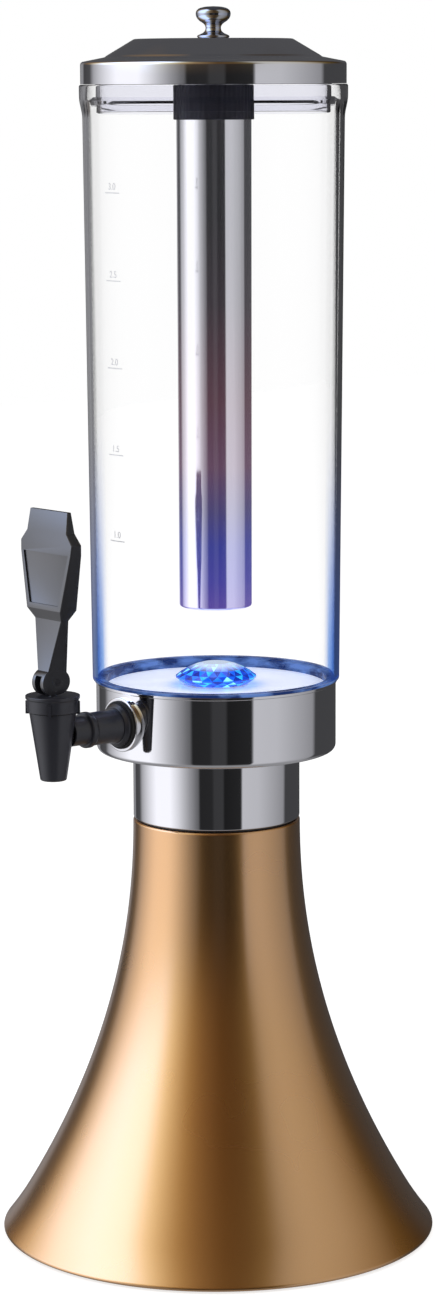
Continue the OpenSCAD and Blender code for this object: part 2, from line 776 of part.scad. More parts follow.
module bonnet() color("black") difference() {
    edge = 0.4;
    bead_h = 1.4;
    bead_out = 0.5;
    foot_in = 0.2;
    translate([0, tap_y, 0]) turned([[0, bonnet_z], [bonnet_r - bead_out - foot_in, bonnet_z],
        [bonnet_r - bead_out, bonnet_top_z - bead_h - bead_out], [bonnet_r, bonnet_top_z - bead_h],
        [bonnet_r, bonnet_top_z - edge], [bonnet_r - edge, bonnet_top_z], [0, bonnet_top_z]]);
    translate([0, tap_y, bonnet_z - 1]) cylinder(r = body_neck_r + fit, h = body_top_z - bonnet_z + 1 + 0.1);
    translate([0, tap_y, bonnet_z]) cylinder(r = stem_r + fit, h = bonnet_top_z - bonnet_z + 1);
}

module stem() color("silver") difference() {
    union() {
        translate([0, tap_y, stem_foot_z]) cylinder(r = stem_r, h = pin_z - pin_r - stem_foot_z);
        translate([0, tap_y, pin_z]) rotate([0, 90, 0])
            translate([0, 0, -stem_head_t / 2]) cylinder(r = stem_head_r, h = stem_head_t);
        translate([0, tap_y, cup_top_z]) cylinder(r = stem_washer_r, h = stem_washer_t);
    }
    translate([-10, tap_y, pin_z]) rotate([0, 90, 0]) cylinder(r = pin_r + press_fit, h = 20);
}

module seat_cup() color("white") difference() {
    z = seat_z + cup_gap;
    translate([0, tap_y, 0]) turned([[0, z], [spout_bore_r - cup_foot_in, z], [cup_r, z + cup_cone_h],
        [cup_r, cup_top_z], [0, cup_top_z]]);
    translate([0, tap_y, stem_foot_z]) cylinder(r = stem_r + press_fit, h = cup_h);
}

module valve_spring() color("silver") translate([0, tap_y, 0])
    let (foot_z = cup_top_z + stem_washer_t + spring_gap)
        coil(spring_r, spring_wire_r, spring_turns, foot_z, body_top_z - spring_gap - foot_z);

module pivot_pin() color("silver") translate([-cam_l / 2, tap_y, pin_z]) rotate([0, 90, 0])
    cylinder(r = pin_r, h = cam_l);

// Lever outline across its width, as [distance from the middle, height]
function lever_front() = let (top = lever_top_z) [
    [lever_top_w / 2, top], [lever_top_w / 2 + 0.9, top - shoulder_drop[0]],
    [lever_w / 2, top - shoulder_drop[1]], [lever_w / 2 - 0.5, top - panel_drop[0]],
    [lever_panel_foot_w / 2, top - panel_drop[1] - panel_margin],
    [lever_neck_w / 2, top - bevel_drop], [cam_l / 2, pin_z + lever_waist_rise]];

// Lever outline through its thickness, as [half thickness, height]
function lever_side() = let (top = lever_top_z) [
    [lever_top_t / 2, top], [lever_t / 2 - edge_thinning, top - shoulder_drop[0]],
    [lever_t / 2, top - shoulder_drop[1]],
    [lever_panel_foot_t / 2, top - panel_drop[1] - panel_margin],
    [lever_neck_t / 2, top - bevel_drop], [lever_waist_t / 2, pin_z + lever_waist_rise]];

// Closed outline that mirrors one side about the middle
function mirrored(side) = concat(side, [for (i = [len(side) - 1 : -1 : 0]) [-side[i][0], side[i][1]]]);

module lever_plate(side, depth) translate([0, depth / 2, 0]) rotate([90, 0, 0])
    linear_extrude(height = depth) polygon(mirrored(side));

module lever_panel(sign) {
    foot = lever_panel_foot_w / 2 - panel_margin;
    head = lever_w / 2 - panel_side_margin;
    cutter_t = 6;
    slope = atan((lever_panel_foot_t - lever_t) / 2 / (panel_drop[1] - panel_drop[0]));
    outline = [[head, lever_top_z - panel_drop[0]], [foot, lever_top_z - panel_drop[1]],
        [-foot, lever_top_z - panel_drop[1]], [-head, lever_top_z - panel_drop[0]]];
    face = lever_t / 2 + edge_thinning - panel_depth;
    translate([0, sign * face, lever_top_z - panel_drop[0]]) rotate([sign * slope, 0, 0])
        translate([0, sign > 0 ? cutter_t : 0, -(lever_top_z - panel_drop[0])]) rotate([90, 0, 0])
            linear_extrude(height = cutter_t) polygon(outline);
}

module lever() color("darkslategray") translate([0, tap_y, 0]) difference() {
    union() {
        intersection() {
            lever_plate(lever_front(), 40);
            rotate([0, 0, 90]) lever_plate(lever_side(), 100);
        }
        translate([-cam_l / 2, -cam_offset, pin_z]) rotate([0, 90, 0]) cylinder(r = cam_r, h = cam_l);
        translate([-cam_l / 2, heel_offset, pin_z]) rotate([0, 90, 0]) cylinder(r = heel_r, h = cam_l);
    }
    lever_panel(1);
    lever_panel(-1);
    translate([-slot_w / 2, -20, pin_z - 20]) cube([slot_w, 40, 20 + stem_head_r + 0.5]);
    translate([-10, 0, pin_z]) rotate([0, 90, 0]) cylinder(r = pin_r + fit, h = 20);
}

// ---- Lid ----

// Lid outline above height z, drawn in by t for the inside
function lid_outline(t) = let (z = lid_z, top = z + rim_h) concat(
    [[lid_r - t, z]],
    arc(lid_r - lid_round, top - lid_round, lid_round - t, 0, 90, 4),
    [[dome_r + t * 0.5, top + shoulder_rise - t], [dome_r - 0.6, top + shoulder_rise + 0.6 - t],
        [dome_top_r + 1 - t * 0.5, top + shoulder_rise + dome_h - 0.9 - t],
        [dome_top_r - 1, top + shoulder_rise + dome_h - 0.3 - t], [0, top + shoulder_rise + dome_h - t]]);

module lid_cover() color("silver") difference() {
    top = lid_z + rim_h + shoulder_rise + dome_h;
    union() {
        difference() {
            turned(concat(lid_outline(0), [[0, lid_z]]));
            turned(concat([[lid_r - lid_wall, lid_z - 1]], lid_outline(lid_wall), [[0, lid_z - 1]]));
        }
        at_angles(post_angles, insert_screw_circle_r)
            translate([0, 0, insert_z + insert_t]) cylinder(r = lid_post_r, h = rim_h + shoulder_rise + 1);
    }
    translate([0, 0, top - 4]) cylinder(r = knob_screw_r + fit, h = 6);
    at_angles(post_angles, insert_screw_circle_r)
        translate([0, 0, insert_z]) cylinder(r = insert_screw_r + fit, h = 9);
}

module lid_insert() color("lightcyan", 0.6) difference() {
    foot_z = mouth_z - plug_depth;
    union() {
        translate([0, 0, insert_z]) cylinder(r = insert_r, h = insert_t);
        ring(plug_r, plug_r - plug_wall, foot_z, insert_z - foot_z + 1);
        ring(boss_out_r, boss_out_r - boss_wall, head_z + ice_lap + 1, insert_z - head_z - ice_lap);
    }
    at_angles(post_angles, insert_screw_circle_r)
        translate([0, 0, insert_z - 1]) cylinder(r = insert_screw_r + fit, h = insert_t + 2);
}

module lid_seal() color("white") {
    lip_r = tube_top_r - tube_wall - clearance - 0.1;
    turned([[plug_r, seal_z], [plug_r + 1.4, seal_z], [lip_r - 0.15, seal_z + 1.2], [lip_r, seal_z + 1.9],
        [plug_r + 1.4, seal_z + seal_t], [plug_r, seal_z + seal_t]]);
}

module insert_screws() color("silver") at_angles(post_angles, insert_screw_circle_r)
    screw(insert_screw_r, 2.4, 1.3, insert_z, 8);

module knob() color("silver") difference() {
    foot_h = 2.4;
    head_z = knob_z + knob_h - 4.6;
    waist_z = knob_z + 6.5;
    turned(concat(
        [[0, knob_z], [knob_foot_r - 0.6, knob_z]],
        arc(knob_foot_r - 0.8, knob_z + 0.9, 0.8, -60, 90, 4),
        [[knob_foot_r - 1.6, knob_z + foot_h - 0.6], [knob_foot_r - 2.6, knob_z + foot_h + 0.6]],
        arc(knob_waist_r + 2.2, waist_z, 2.2, 215, 150, 4),
        [for (a = [-62 : 14 : 78]) [knob_head_r * cos(a), head_z + (a < 0 ? 3.4 : 4.6) * sin(a)]],
        [[0, knob_z + knob_h]]));
    translate([0, 0, knob_z - 1]) cylinder(r = knob_screw_r + fit, h = 9);
}

module knob_screw() color("silver")
    screw(knob_screw_r, 3.4, 1.6, knob_z - lid_wall - 0.05, 8);

// ---- Ice tube ----

module ice_gasket() color("white") ring(head_r - 0.4, boss_out_r + clearance, head_top_z, gasket_t - 0.05);

module ice_tube_head() color("black") difference() {
    turned([[0, head_z], [head_r - 0.6, head_z], [head_r, head_z + 0.6], [head_r, head_top_z],
        [0, head_top_z]]);
    translate([0, 0, head_z - 1]) cylinder(r = ice_top_r + press_fit, h = ice_lap + 1);
    translate([0, 0, head_z]) cylinder(r = boss_out_r + fit, h = head_h + 1);
}

module ice_tube() color("silver") {
    z = head_z - ice_l;
    turned(concat(
        [[0, z]],
        arc(ice_r(z) - ice_round, z + ice_round, ice_round, -90, 0, 5),
        [[ice_top_r, head_z - 0.5], [ice_top_r, head_z + ice_lap], [ice_top_r - ice_wall, head_z + ice_lap]],
        arc(ice_r(z) - ice_round, z + ice_round, ice_round - ice_wall, 0, -90, 5),
        [[0, z + ice_wall]]));
}

base_shell();
base_floor();
ballast_plate();
floor_screws();
foot_pad();
socket_ring();
neck_tube();
neck_spigot();
collar();
collar_screws();
floor_basin();
basin_oring();
reservoir_tube();
gem_lens();
lens_gasket();
lens_nut();
reflector();
led_board();
leds();
led_housing();
housing_screws();
batteries();
battery_springs();
switch_block();
light_button();
button_spring();
battery_cover();
cover_contact();
outer_washer();
shank_flange();
shank_sleeve();
shank();
inner_washer();
shank_nut();
tap_body();
bonnet();
stem();
seat_cup();
valve_spring();
pivot_pin();
lever();
lid_cover();
lid_insert();
lid_seal();
insert_screws();
knob();
knob_screw();
ice_gasket();
ice_tube_head();
ice_tube();
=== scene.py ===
"""Looks of a drink tower: painted flare, plated column, clear reservoir, lit floor and lever tap."""
from math import cos, pi, radians, sin, tan

import bmesh
import bpy
from mathutils import Matrix, Vector


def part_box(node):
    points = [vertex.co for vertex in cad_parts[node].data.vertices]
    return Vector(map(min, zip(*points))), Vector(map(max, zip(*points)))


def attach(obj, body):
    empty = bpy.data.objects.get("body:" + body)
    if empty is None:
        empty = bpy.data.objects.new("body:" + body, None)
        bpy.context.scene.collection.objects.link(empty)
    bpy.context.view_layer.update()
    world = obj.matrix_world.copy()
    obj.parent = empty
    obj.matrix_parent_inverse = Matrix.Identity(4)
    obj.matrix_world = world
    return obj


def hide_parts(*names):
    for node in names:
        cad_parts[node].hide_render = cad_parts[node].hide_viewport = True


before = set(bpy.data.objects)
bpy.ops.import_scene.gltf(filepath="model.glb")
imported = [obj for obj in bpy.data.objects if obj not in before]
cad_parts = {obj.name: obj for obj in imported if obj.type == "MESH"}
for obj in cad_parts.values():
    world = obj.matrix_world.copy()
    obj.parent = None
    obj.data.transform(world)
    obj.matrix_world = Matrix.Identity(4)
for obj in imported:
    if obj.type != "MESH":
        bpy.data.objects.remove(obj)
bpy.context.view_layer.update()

bl_info = {
    "name": "Drink tower looks",
    "version": (1, 0, 0),
    "blender": (4, 5, 0),
    "location": "View3D > Sidebar > Drink Tower",
    "description": "Builds the shown pieces and the studio round a drink tower with a lever tap",
    "category": "Object",
}

MM = 0.001
COLLAR_LIP = 3.0 * MM    # drawn rise of the collar's wall round the foot of the reservoir
STEP_HEIGHT = 1.4 * MM   # step inside the foot of the reservoir
MERGE = 1e-7             # points closer than this are one
SMOOTH_ANGLE = 34.0      # edges sharper than this, in degrees, stay crisp

# Shown piece: finish, body that it rides on, construction pieces that it stands for, slot
PIECES = {
    "base_skin": ("gold_paint", "base", ["base_shell"], "gold_paint"),
    "foot_tread": ("black_rubber", "base", ["foot_pad"], "black_rubber"),
    "collar_fixings": ("steel", "column", ["collar_screws"], "steel"),
    "floor_fixings": ("steel", "base", ["floor_screws"], "steel"),
    "neck_skin": ("chrome", "column", ["neck_tube"], "chrome"),
    "collar_skin": ("chrome", "column", ["collar"], "chrome"),
    "reservoir_wall": ("clear_wall", "column", ["reservoir_tube"], "clear_plastic"),
    "level_ticks": ("print_grey", "column", [], "white_plastic"),
    "level_numbers": ("print_grey", "column", [], "white_plastic"),
    "gem_stone": ("gem_glass", "column", ["gem_lens"], "gem"),
    "lid_dome": ("chrome", "lid", ["lid_cover"], "chrome"),
    "knob_turned": ("shaded_chrome", "lid", ["knob"], "chrome"),
    "lid_plug": ("clear_plug", "lid", ["lid_insert"], "clear_plastic"),
    "lid_lip": ("clear_lip", "lid", ["lid_seal"], "silicone"),
    "ice_sleeve": ("ice_steel", "ice_tube", ["ice_tube"], "ice_steel"),
    "ice_cap": ("navy_plastic", "ice_tube", ["ice_tube_head"], "black_plastic"),
    "tap_casting": ("charcoal", "column", ["tap_body"], "tap_plastic"),
    "tap_bonnet": ("charcoal", "column", ["bonnet"], "tap_plastic"),
    "tap_sleeve": ("charcoal", "column", ["shank_sleeve"], "tap_plastic"),
    "tap_flange": ("charcoal", "column", ["shank_flange"], "tap_plastic"),
    "tap_washer": ("black_rubber", "column", ["outer_washer"], "black_rubber"),
    "lever_paddle": ("lever_black", "lever", ["lever"], "tap_plastic"),
}


# ---- Sizes read from the frame ----

def mm(*values):
    """Lengths in metres from millimetres."""
    return [value * MM for value in values]


def low(name):
    """Lowest corner of a node at rest."""
    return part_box(name)[0]


def high(name):
    """Highest corner of a node at rest."""
    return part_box(name)[1]


def span_z(name):
    """Foot and top of a node at rest."""
    return low(name).z, high(name).z


def radius_of(name):
    """Outer radius of a round node about the column's axis."""
    return (high(name).x - low(name).x) / 2


def collar_top():
    """Height of the drawn top edge of the collar."""
    return high("collar").z + COLLAR_LIP


TAP_Y = low("tap_body").y + radius_of("tap_body")
TAP_Z = sum(span_z("shank")) / 2
PIN_Z = sum(span_z("pivot_pin")) / 2


def length(label, text, default):
    """Length setting."""
    return bpy.props.FloatProperty(name=label, description=text, default=default, unit="LENGTH")


def angle(label, text, default):
    """Angle setting, given in degrees."""
    return bpy.props.FloatProperty(name=label, description=text, default=radians(default), subtype="ANGLE")


def count(label, text, default, least):
    """Whole number setting."""
    return bpy.props.IntProperty(name=label, description=text, default=default, min=least)


def colour(label, text, default):
    """Colour setting."""
    return bpy.props.FloatVectorProperty(
        name=label, description=text, default=default, subtype="COLOR", size=3)


class TowerSizes(bpy.types.PropertyGroup):
    """Sizes of the shown pieces, in metres"""
    foot_radius: length("Foot radius", "Radius of the flare curve at the table", 113.8 * MM)
    flare_top_radius: length("Flare top radius", "Radius of the flare at its top",
                             radius_of("neck_tube") + 0.2 * MM)
    flare_height: length("Flare height", "Height of the painted base", high("base_shell").z)
    flare_power: bpy.props.FloatProperty(
        name="Flare power", description="Power of the flare curve, more for a slimmer trumpet", default=2.08)
    kick: length("Foot kick", "How far the flare kicks out at the foot", 1.6 * MM)
    kick_height: length("Kick height", "Height over which the flare kicks out", 20 * MM)
    reservoir_wall: length("Reservoir wall", "Thickness of the clear wall", 2.5 * MM)
    reservoir_foot_radius: length("Reservoir foot radius", "Outer radius of the wall at its foot", 63.8 * MM)
    reservoir_top_radius: length("Reservoir top radius", "Outer radius of the wall at its flange", 66.4 * MM)
    mark_step: length("Mark step", "Rise from one half-litre mark to the next", 43.5 * MM)
    mark_count: count("Marks", "Number of level marks", 5, 1)
    lowest_mark: length("Lowest mark", "Height of the lowest level mark", 370 * MM)
    gem_facets: count("Gem facets", "Facets round the gem's girdle", 24, 8)


class TowerColours(bpy.types.PropertyGroup):
    """Colours of the finishes"""
    gold: colour("Gold paint", "Metallic paint of the base", (0.80, 0.41, 0.12))
    chrome: colour("Chrome", "Plating of collar, neck and lid", (0.86, 0.86, 0.88))
    charcoal: colour("Charcoal", "Moulded plastic of the tap", (0.033, 0.034, 0.046))


class TowerStage(bpy.types.PropertyGroup):
    """Camera and studio"""
    azimuth: angle("Camera azimuth", "Direction of the camera round the column; 0 looks along +Y", 50)
    distance: length("Camera distance", "Level distance from the column's axis", 1.85)
    height: length("Camera height", "Height above the table", 0.599)
    tilt: angle("Camera tilt", "How far the camera looks down", 8.93)
    roll: angle("Camera roll", "Turn of the camera about its view", -0.24)
    pan: angle("Camera pan", "Turn of the camera past the axis", 0.026)
    lens: bpy.props.FloatProperty(name="Lens", description="Focal length in millimetres", default=100.4)


# ---- Mesh helpers ----

def add_object(name, data):
    """New object in the scene."""
    made = bpy.data.objects.new(name, data)
    bpy.context.scene.collection.objects.link(made)
    return made


def to_mesh(bm, name):
    """Mesh from a bmesh, which is freed."""
    mesh = bpy.data.meshes.new(name)
    bm.to_mesh(mesh)
    bm.free()
    return mesh


def from_mesh(mesh):
    """New bmesh from a mesh."""
    bm = bmesh.new()
    bm.from_mesh(mesh)
    return bm


def evaluated(piece):
    """Plain mesh of an object as its modifiers leave it."""
    bpy.context.view_layer.update()
    return bpy.data.meshes.new_from_object(piece.evaluated_get(bpy.context.evaluated_depsgraph_get()))


def soften(mesh, smooth_angle):
    """Soft shading on rounds, with crisp edges past an angle."""
    mesh.shade_smooth()
    mesh.set_sharp_from_angle(angle=radians(smooth_angle))


def shown(name, shape, smooth_angle=SMOOTH_ANGLE):
    """Links a finished mesh, or a bmesh that is finished here, as the piece of that name in PIECES."""
    mesh = shape
    if isinstance(shape, bmesh.types.BMesh):
        bmesh.ops.remove_doubles(shape, verts=shape.verts, dist=MERGE)
        bmesh.ops.recalc_face_normals(shape, faces=shape.faces)
        mesh = to_mesh(shape, name)
        soften(mesh, smooth_angle)
    finish, body, stands_for, slot = PIECES[name]
    mesh.materials.clear()
    mesh.materials.append(FINISHES[finish])
    piece = add_object(name, mesh)
    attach(piece, body)
    if stands_for:
        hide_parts(*stands_for)


def rounded(points, steps=6):
    """Closed outline whose corners (x, y, radius in millimetres) are turned into arcs."""
    outline = []
    for i, point in enumerate(points):
        here = Vector(point[:2])
        if len(point) < 3:
            outline.append(here)
            continue
        before = Vector(points[i - 1][:2]) - here
        after = Vector(points[(i + 1) % len(points)][:2]) - here
        wanted = point[2] * MM / tan(before.angle(after) / 2)
        reach = min(wanted, before.length * 0.49, after.length * 0.49)
        start, end = here + before.normalized() * reach, here + after.normalized() * reach
        for k in range(steps + 1):
            t = k / steps
            outline.append(start * (1 - t) ** 2 + here * 2 * t * (1 - t) + end * t ** 2)
    return outline


def lathe(outline, segments=192, ridge=None):
    """Solid of revolution about Z from (radius, height) points; a point on the axis becomes a pole."""
    bm = bmesh.new()
    rings = []
    for radius, height in outline:
        if radius < MERGE:
            rings.append([bm.verts.new((0, 0, height))])
            continue
        ring = []
        for k in range(segments):
            a = 2 * pi * k / segments
            r = radius + (ridge(a, radius, height) if ridge else 0.0)
            ring.append(bm.verts.new((r * cos(a), r * sin(a), height)))
        rings.append(ring)
    pairs = list(zip(rings, rings[1:]))
    if len(rings[0]) > 1:
        pairs.append((rings[-1], rings[0]))
    for a, b in pairs:
        for k in range(segments):
            n = (k + 1) % segments
            corners = list(dict.fromkeys((a[k % len(a)], a[n % len(a)], b[n % len(b)], b[k % len(b)])))
            if len(corners) > 2:
                bm.faces.new(corners)
    return bm


def turned(points, segments, steps=6, matrix=Matrix()):
    """Solid of revolution from an outline with rounded corners, moved by a matrix."""
    return placed(lathe(rounded(points, steps), segments), matrix)


def joined(parts):
    """One bmesh from several."""
    whole = bmesh.new()
    for part in parts:
        mesh = to_mesh(part, "part")
        whole.from_mesh(mesh)
        bpy.data.meshes.remove(mesh)
    return whole


def placed(bm, matrix):
    """Moves a bmesh."""
    bmesh.ops.transform(bm, matrix=matrix, verts=bm.verts)
    return bm


def box_mesh(corner, opposite):
    """Box between two corners."""
    bm = bmesh.new()
    bmesh.ops.create_cube(bm, size=1)
    corner, opposite = Vector(corner), Vector(opposite)
    middle, size = (corner + opposite) / 2, opposite - corner
    return placed(bm, Matrix.Translation(middle) @ Matrix.Diagonal((*size, 1)))


def along_tap():
    """Turns +Z to -Y, the way out of the collar into the tap, at the height of the tap's inlet."""
    return Matrix.Translation((0, 0, TAP_Z)) @ Matrix.Rotation(radians(90), 4, "X")


# ---- Node helpers ----

def node(tree, kind, inputs=None, **settings):
    """Adds a node with its settings and its inputs, each a plain value, a socket or a Value."""
    made = tree.nodes.new(kind)
    for key, value in settings.items():
        setattr(made, key, value)
    fill(made, inputs or {})
    return made


def output(tree, kind, inputs=None, name=0, **settings):
    """Output of a new node, the first or the one named."""
    return Value(node(tree, kind, inputs, **settings).outputs[name])


def fill(made, inputs):
    """Sets or joins a node's inputs, given by name or place."""
    for key, value in inputs.items():
        socket = made.inputs[key]
        value = getattr(value, "socket", value)
        if isinstance(value, bpy.types.NodeSocket):
            made.id_data.links.new(value, socket)
        elif socket.type == "RGBA":
            socket.default_value = (*value[:3], 1.0)
        else:
            socket.default_value = value


class Value:
    """Output of a node, which takes plain arithmetic."""

    def __init__(self, socket):
        self.socket, self.tree = socket, socket.id_data

    def math(self, operation, *others):
        """Math node with this value as its first input."""
        return output(self.tree, "ShaderNodeMath", dict(enumerate((self, *others))), operation=operation)

    def __add__(self, other):
        return self.math("ADD", other)

    def __sub__(self, other):
        return self.math("SUBTRACT", other)

    def __rsub__(self, other):
        return output(self.tree, "ShaderNodeMath", {0: other, 1: self}, operation="SUBTRACT")

    def __mul__(self, other):
        return self.math("MULTIPLY", other)

    def __truediv__(self, other):
        return self.math("DIVIDE", other)

    def __pow__(self, other):
        return self.math("POWER", other)

    def spread(self, lowest, highest, start=0.3, end=0.7, **settings):
        """Maps the part from start to end on a wanted span."""
        span = {"Value": self, "From Min": start, "From Max": end, "To Min": lowest, "To Max": highest}
        return output(self.tree, "ShaderNodeMapRange", span, **settings)

    def blend(self, a, b):
        """Colour that is a where this value is 0 and b where it is 1."""
        made = node(self.tree, "ShaderNodeMix", data_type="RGBA")
        places = {s.identifier: i for i, s in enumerate(made.inputs)}
        fill(made, {places["Factor_Float"]: self, places["A_Color"]: a, places["B_Color"]: b})
        return Value(next(s for s in made.outputs if s.identifier == "Result_Color"))

    def parts(self):
        """X, Y and Z of a vector."""
        return [Value(s) for s in node(self.tree, "ShaderNodeSeparateXYZ", {"Vector": self}).outputs]


def vector(tree, x=0.0, y=0.0, z=0.0):
    """Vector from three values."""
    return output(tree, "ShaderNodeCombineXYZ", {"X": x, "Y": y, "Z": z})


def ramp(factor, stops, interpolation="LINEAR"):
    """Colour along (position, colour) stops."""
    made = node(factor.tree, "ShaderNodeValToRGB", {"Fac": factor})
    made.color_ramp.interpolation = interpolation
    elements = made.color_ramp.elements
    elements.remove(elements[1])
    for i, (position, shade) in enumerate(stops):
        element = elements[0] if i == 0 else elements.new(position)
        element.position, element.color = position, (*shade, 1.0)
    return Value(made.outputs["Color"])


def own_place(tree):
    """Place in the piece's own space."""
    return output(tree, "ShaderNodeTexCoord", name="Object")


def own_height(tree):
    """Height in the piece's own space."""
    return own_place(tree).parts()[2]


def height_fade(tree, low_z, high_z):
    """1 at low_z falling softly to 0 at high_z."""
    return own_height(tree).spread(1.0, 0.0, low_z, high_z, interpolation_type="SMOOTHSTEP")


def noise(tree, scale, detail=3.0, stretch=(1, 1, 1)):
    """Noise in the piece's own space."""
    place = output(tree, "ShaderNodeMapping", {"Vector": own_place(tree), "Scale": stretch})
    grain = {"Vector": place, "Scale": scale, "Detail": detail, "Roughness": 0.55}
    return output(tree, "ShaderNodeTexNoise", grain)


def bump(shader, source, strength, distance):
    """Bump on a shader from a height value."""
    height = {"Strength": strength, "Distance": distance, "Height": source}
    fill(shader, {"Normal": output(source.tree, "ShaderNodeBump", height)})


def mixed(factor, a, b):
    """Shader a where the factor is 0 and b where it is 1."""
    return output(factor.tree, "ShaderNodeMixShader", {0: factor, 1: a, 2: b})


def ray_kinds(tree):
    """Whether a ray is the camera's, also through clear pieces, and whether it left a shiny surface."""
    path = node(tree, "ShaderNodeLightPath").outputs
    seen = Value(path["Is Camera Ray"]).math("MAXIMUM", path["Is Transmission Ray"])
    return seen, Value(path["Glossy Depth"]).math("GREATER_THAN", 0.5)


def scaled(shade, share):
    """Colour made darker or paler."""
    return tuple(min(1.0, part * share) for part in shade)


# ---- Finishes ----

FINISHES = {}


def new_finish(name, **sockets):
    """Principled material whose even values sit on the shader's own sockets."""
    material = FINISHES[name] = bpy.data.materials.new(name)
    material.use_nodes = True
    shader = material.node_tree.nodes["Principled BSDF"]
    fill(shader, {key.replace("_", " "): value for key, value in sockets.items()})
    return material.node_tree, shader


def gold_paint(gold):
    """Satin metallic paint with fine flake, a clear coat and a trace of spray texture."""
    tree, shader = new_finish(
        "gold_paint", Metallic=1.0, Roughness=0.28, Coat_Weight=1.0, Coat_Roughness=0.16, Coat_IOR=2.3)
    flake, cloud = noise(tree, 5200, detail=1.0), noise(tree, 18, detail=2.0)
    tone = flake.spread(0.0, 1.0).blend(scaled(gold, 0.93), scaled(gold, 1.06))
    fill(shader, {"Base Color": cloud.spread(0.0, 0.5, 0.0, 1.0).blend(tone, gold),
                  "Roughness": cloud.spread(0.25, 0.31, 0.0, 1.0)})
    bump(shader, flake, 0.05, 0.0002)


def chrome(name, base):
    """Mirror plating with faint wiping marks."""
    tree, shader = new_finish(name, Metallic=1.0, Roughness=0.05)
    smudge = noise(tree, 30, detail=4.0, stretch=(1, 1, 0.4))
    fill(shader, {"Roughness": smudge.spread(0.02, 0.085, 0.0, 1.0),
                  "Base Color": smudge.spread(0.0, 0.5, 0.0, 1.0).blend(base, scaled(base, 0.94))})


def ice_steel():
    """Drawn steel of the ice tube with a painted glow, blue at its foot through violet to brown, for the
    gem's light reflected in it.
    """
    tree, shader = new_finish("ice_steel", Metallic=1.0, Roughness=0.1, Emission_Strength=1.0)
    draw = noise(tree, 260, detail=2.0, stretch=(1, 1, 0.02))
    climb = own_height(tree).spread(0.0, 1.0, *span_z("ice_tube"))
    # Painted light: emission climbing the tube, blue at the foot through violet to brown, for the gem's light
    # reflected in the steel.
    painted_glow = ramp(climb, [(0.0, (0.09, 0.055, 0.32)), (0.06, (0.045, 0.04, 0.30)), (0.13, (0.028, 0.035, 0.26)),
                        (0.2, (0.05, 0.04, 0.15)), (0.29, (0.10, 0.045, 0.09)), (0.42, (0.075, 0.028, 0.045)),
                        (0.62, (0.025, 0.018, 0.024)), (0.8, (0.012, 0.012, 0.014))])
    fill(shader, {"Roughness": draw.spread(0.08, 0.12), "Emission Color": painted_glow,
                  "Base Color": draw.spread(0.0, 1.0).blend((0.88, 0.88, 0.90), (0.93, 0.93, 0.95))})


def clear_plastic(name, ior, veil, tint):
    """Polished clear plastic with a faint unevenness."""
    tree, shader = new_finish(name, Transmission_Weight=1.0, Roughness=veil, IOR=ior, Specular_IOR_Level=0.35)
    haze = noise(tree, 40, detail=2.0)
    fill(shader, {"Base Color": haze.spread(0.0, 0.5).blend(tint, scaled(tint, 0.975))})


def clear_wall():
    """Clear wall with a painted blue glow on its edges and foot ring, for the column's blue light."""
    tree, shader = new_finish("clear_wall", Transmission_Weight=1.0, Roughness=0.01, IOR=1.16)
    step_top = collar_top() + STEP_HEIGHT
    facing = output(tree, "ShaderNodeLayerWeight", {"Blend": 0.5}, "Facing")
    # Painted light: blue glow where the wall is seen edge-on, fading out up from the foot.
    rim = height_fade(tree, step_top, step_top + 140 * MM) * facing.spread(0.0, 1.0, 0.58, 0.68)
    # Painted light: a glowing blue band, with streaks, round the foot ring.
    ring = height_fade(tree, step_top + 0.1 * MM, step_top + 0.7 * MM)
    glow_streak = noise(tree, 60, stretch=(1, 1, 3)).spread(0.0, 1.0, 0.42, 0.62)
    painted_glow_tone = glow_streak.blend((0.010, 0.028, 0.12), (0.10, 0.19, 0.45))
    clear = rim.blend((1.0, 1.0, 1.0), (0.10, 0.25, 0.62))
    fill(shader, {"Base Color": ring.blend(clear, painted_glow_tone),
                  "Emission Color": ring.blend((0.015, 0.06, 0.30), painted_glow_tone),
                  "Emission Strength": (rim * 0.40).math("MAXIMUM", ring * 0.5),
                  "Transmission Weight": ring.spread(1.0, 0.2, 0.0, 1.0)})


def lit_white():
    """White floor with a painted glow, and a painted pool of blue light near the gem."""
    tree, shader = new_finish("lit_white", Roughness=0.35)
    cloud = noise(tree, 60)
    flat = output(tree, "ShaderNodeVectorMath", {0: own_place(tree), 1: (1, 1, 0)}, operation="MULTIPLY")
    reach = output(tree, "ShaderNodeVectorMath", {0: flat}, "Value", operation="LENGTH")
    gem_r = radius_of("gem_lens")
    # Painted light: the surface glows a little, bluer over the gem's radius and fading just past it.
    near = reach.spread(1.0, 0.0, gem_r, gem_r * 1.35) * 0.8
    fill(shader, {"Base Color": cloud.spread(0.0, 1.0).blend((0.72, 0.75, 0.92), (0.80, 0.82, 0.95)),
                  "Emission Color": near.blend((0.80, 0.87, 1.0), (0.22, 0.45, 1.0)),
                  "Emission Strength": cloud.spread(0.52, 0.6)})


def gem_glass():
    """Facets that glow with painted blue light, a few of them cyan, and a painted glare on the crown."""
    tree, shader = new_finish("gem_glass", Roughness=0.05, IOR=1.55, Coat_Weight=0.6, Emission_Strength=0.95)
    tone = output(tree, "ShaderNodeAttribute", name="Fac", attribute_name="facet_tone")
    # Painted light: each facet glows blue in a colour picked by its facet_tone.
    tones = ramp(tone, [(0.0, (0.002, 0.012, 0.22)), (0.25, (0.003, 0.04, 0.48)), (0.45, (0.004, 0.10, 0.70)),
                        (0.65, (0.008, 0.19, 0.90)), (0.82, (0.02, 0.45, 0.95)), (0.92, (0.25, 0.85, 1.0))],
                 "CONSTANT")
    shade = noise(tree, 420, detail=2.0).spread(0.0, 0.5).blend(tones, (0.003, 0.05, 0.5))
    top = high("gem_lens").z
    # Painted highlight: white glare near the top of the crown.
    crown_glare = own_height(tree).spread(0.0, 1.0, top - 3.0 * MM, top - 0.6 * MM) * 0.9
    fill(shader, {"Base Color": shade, "Emission Color": crown_glare.blend(shade, (0.80, 0.93, 1.0))})


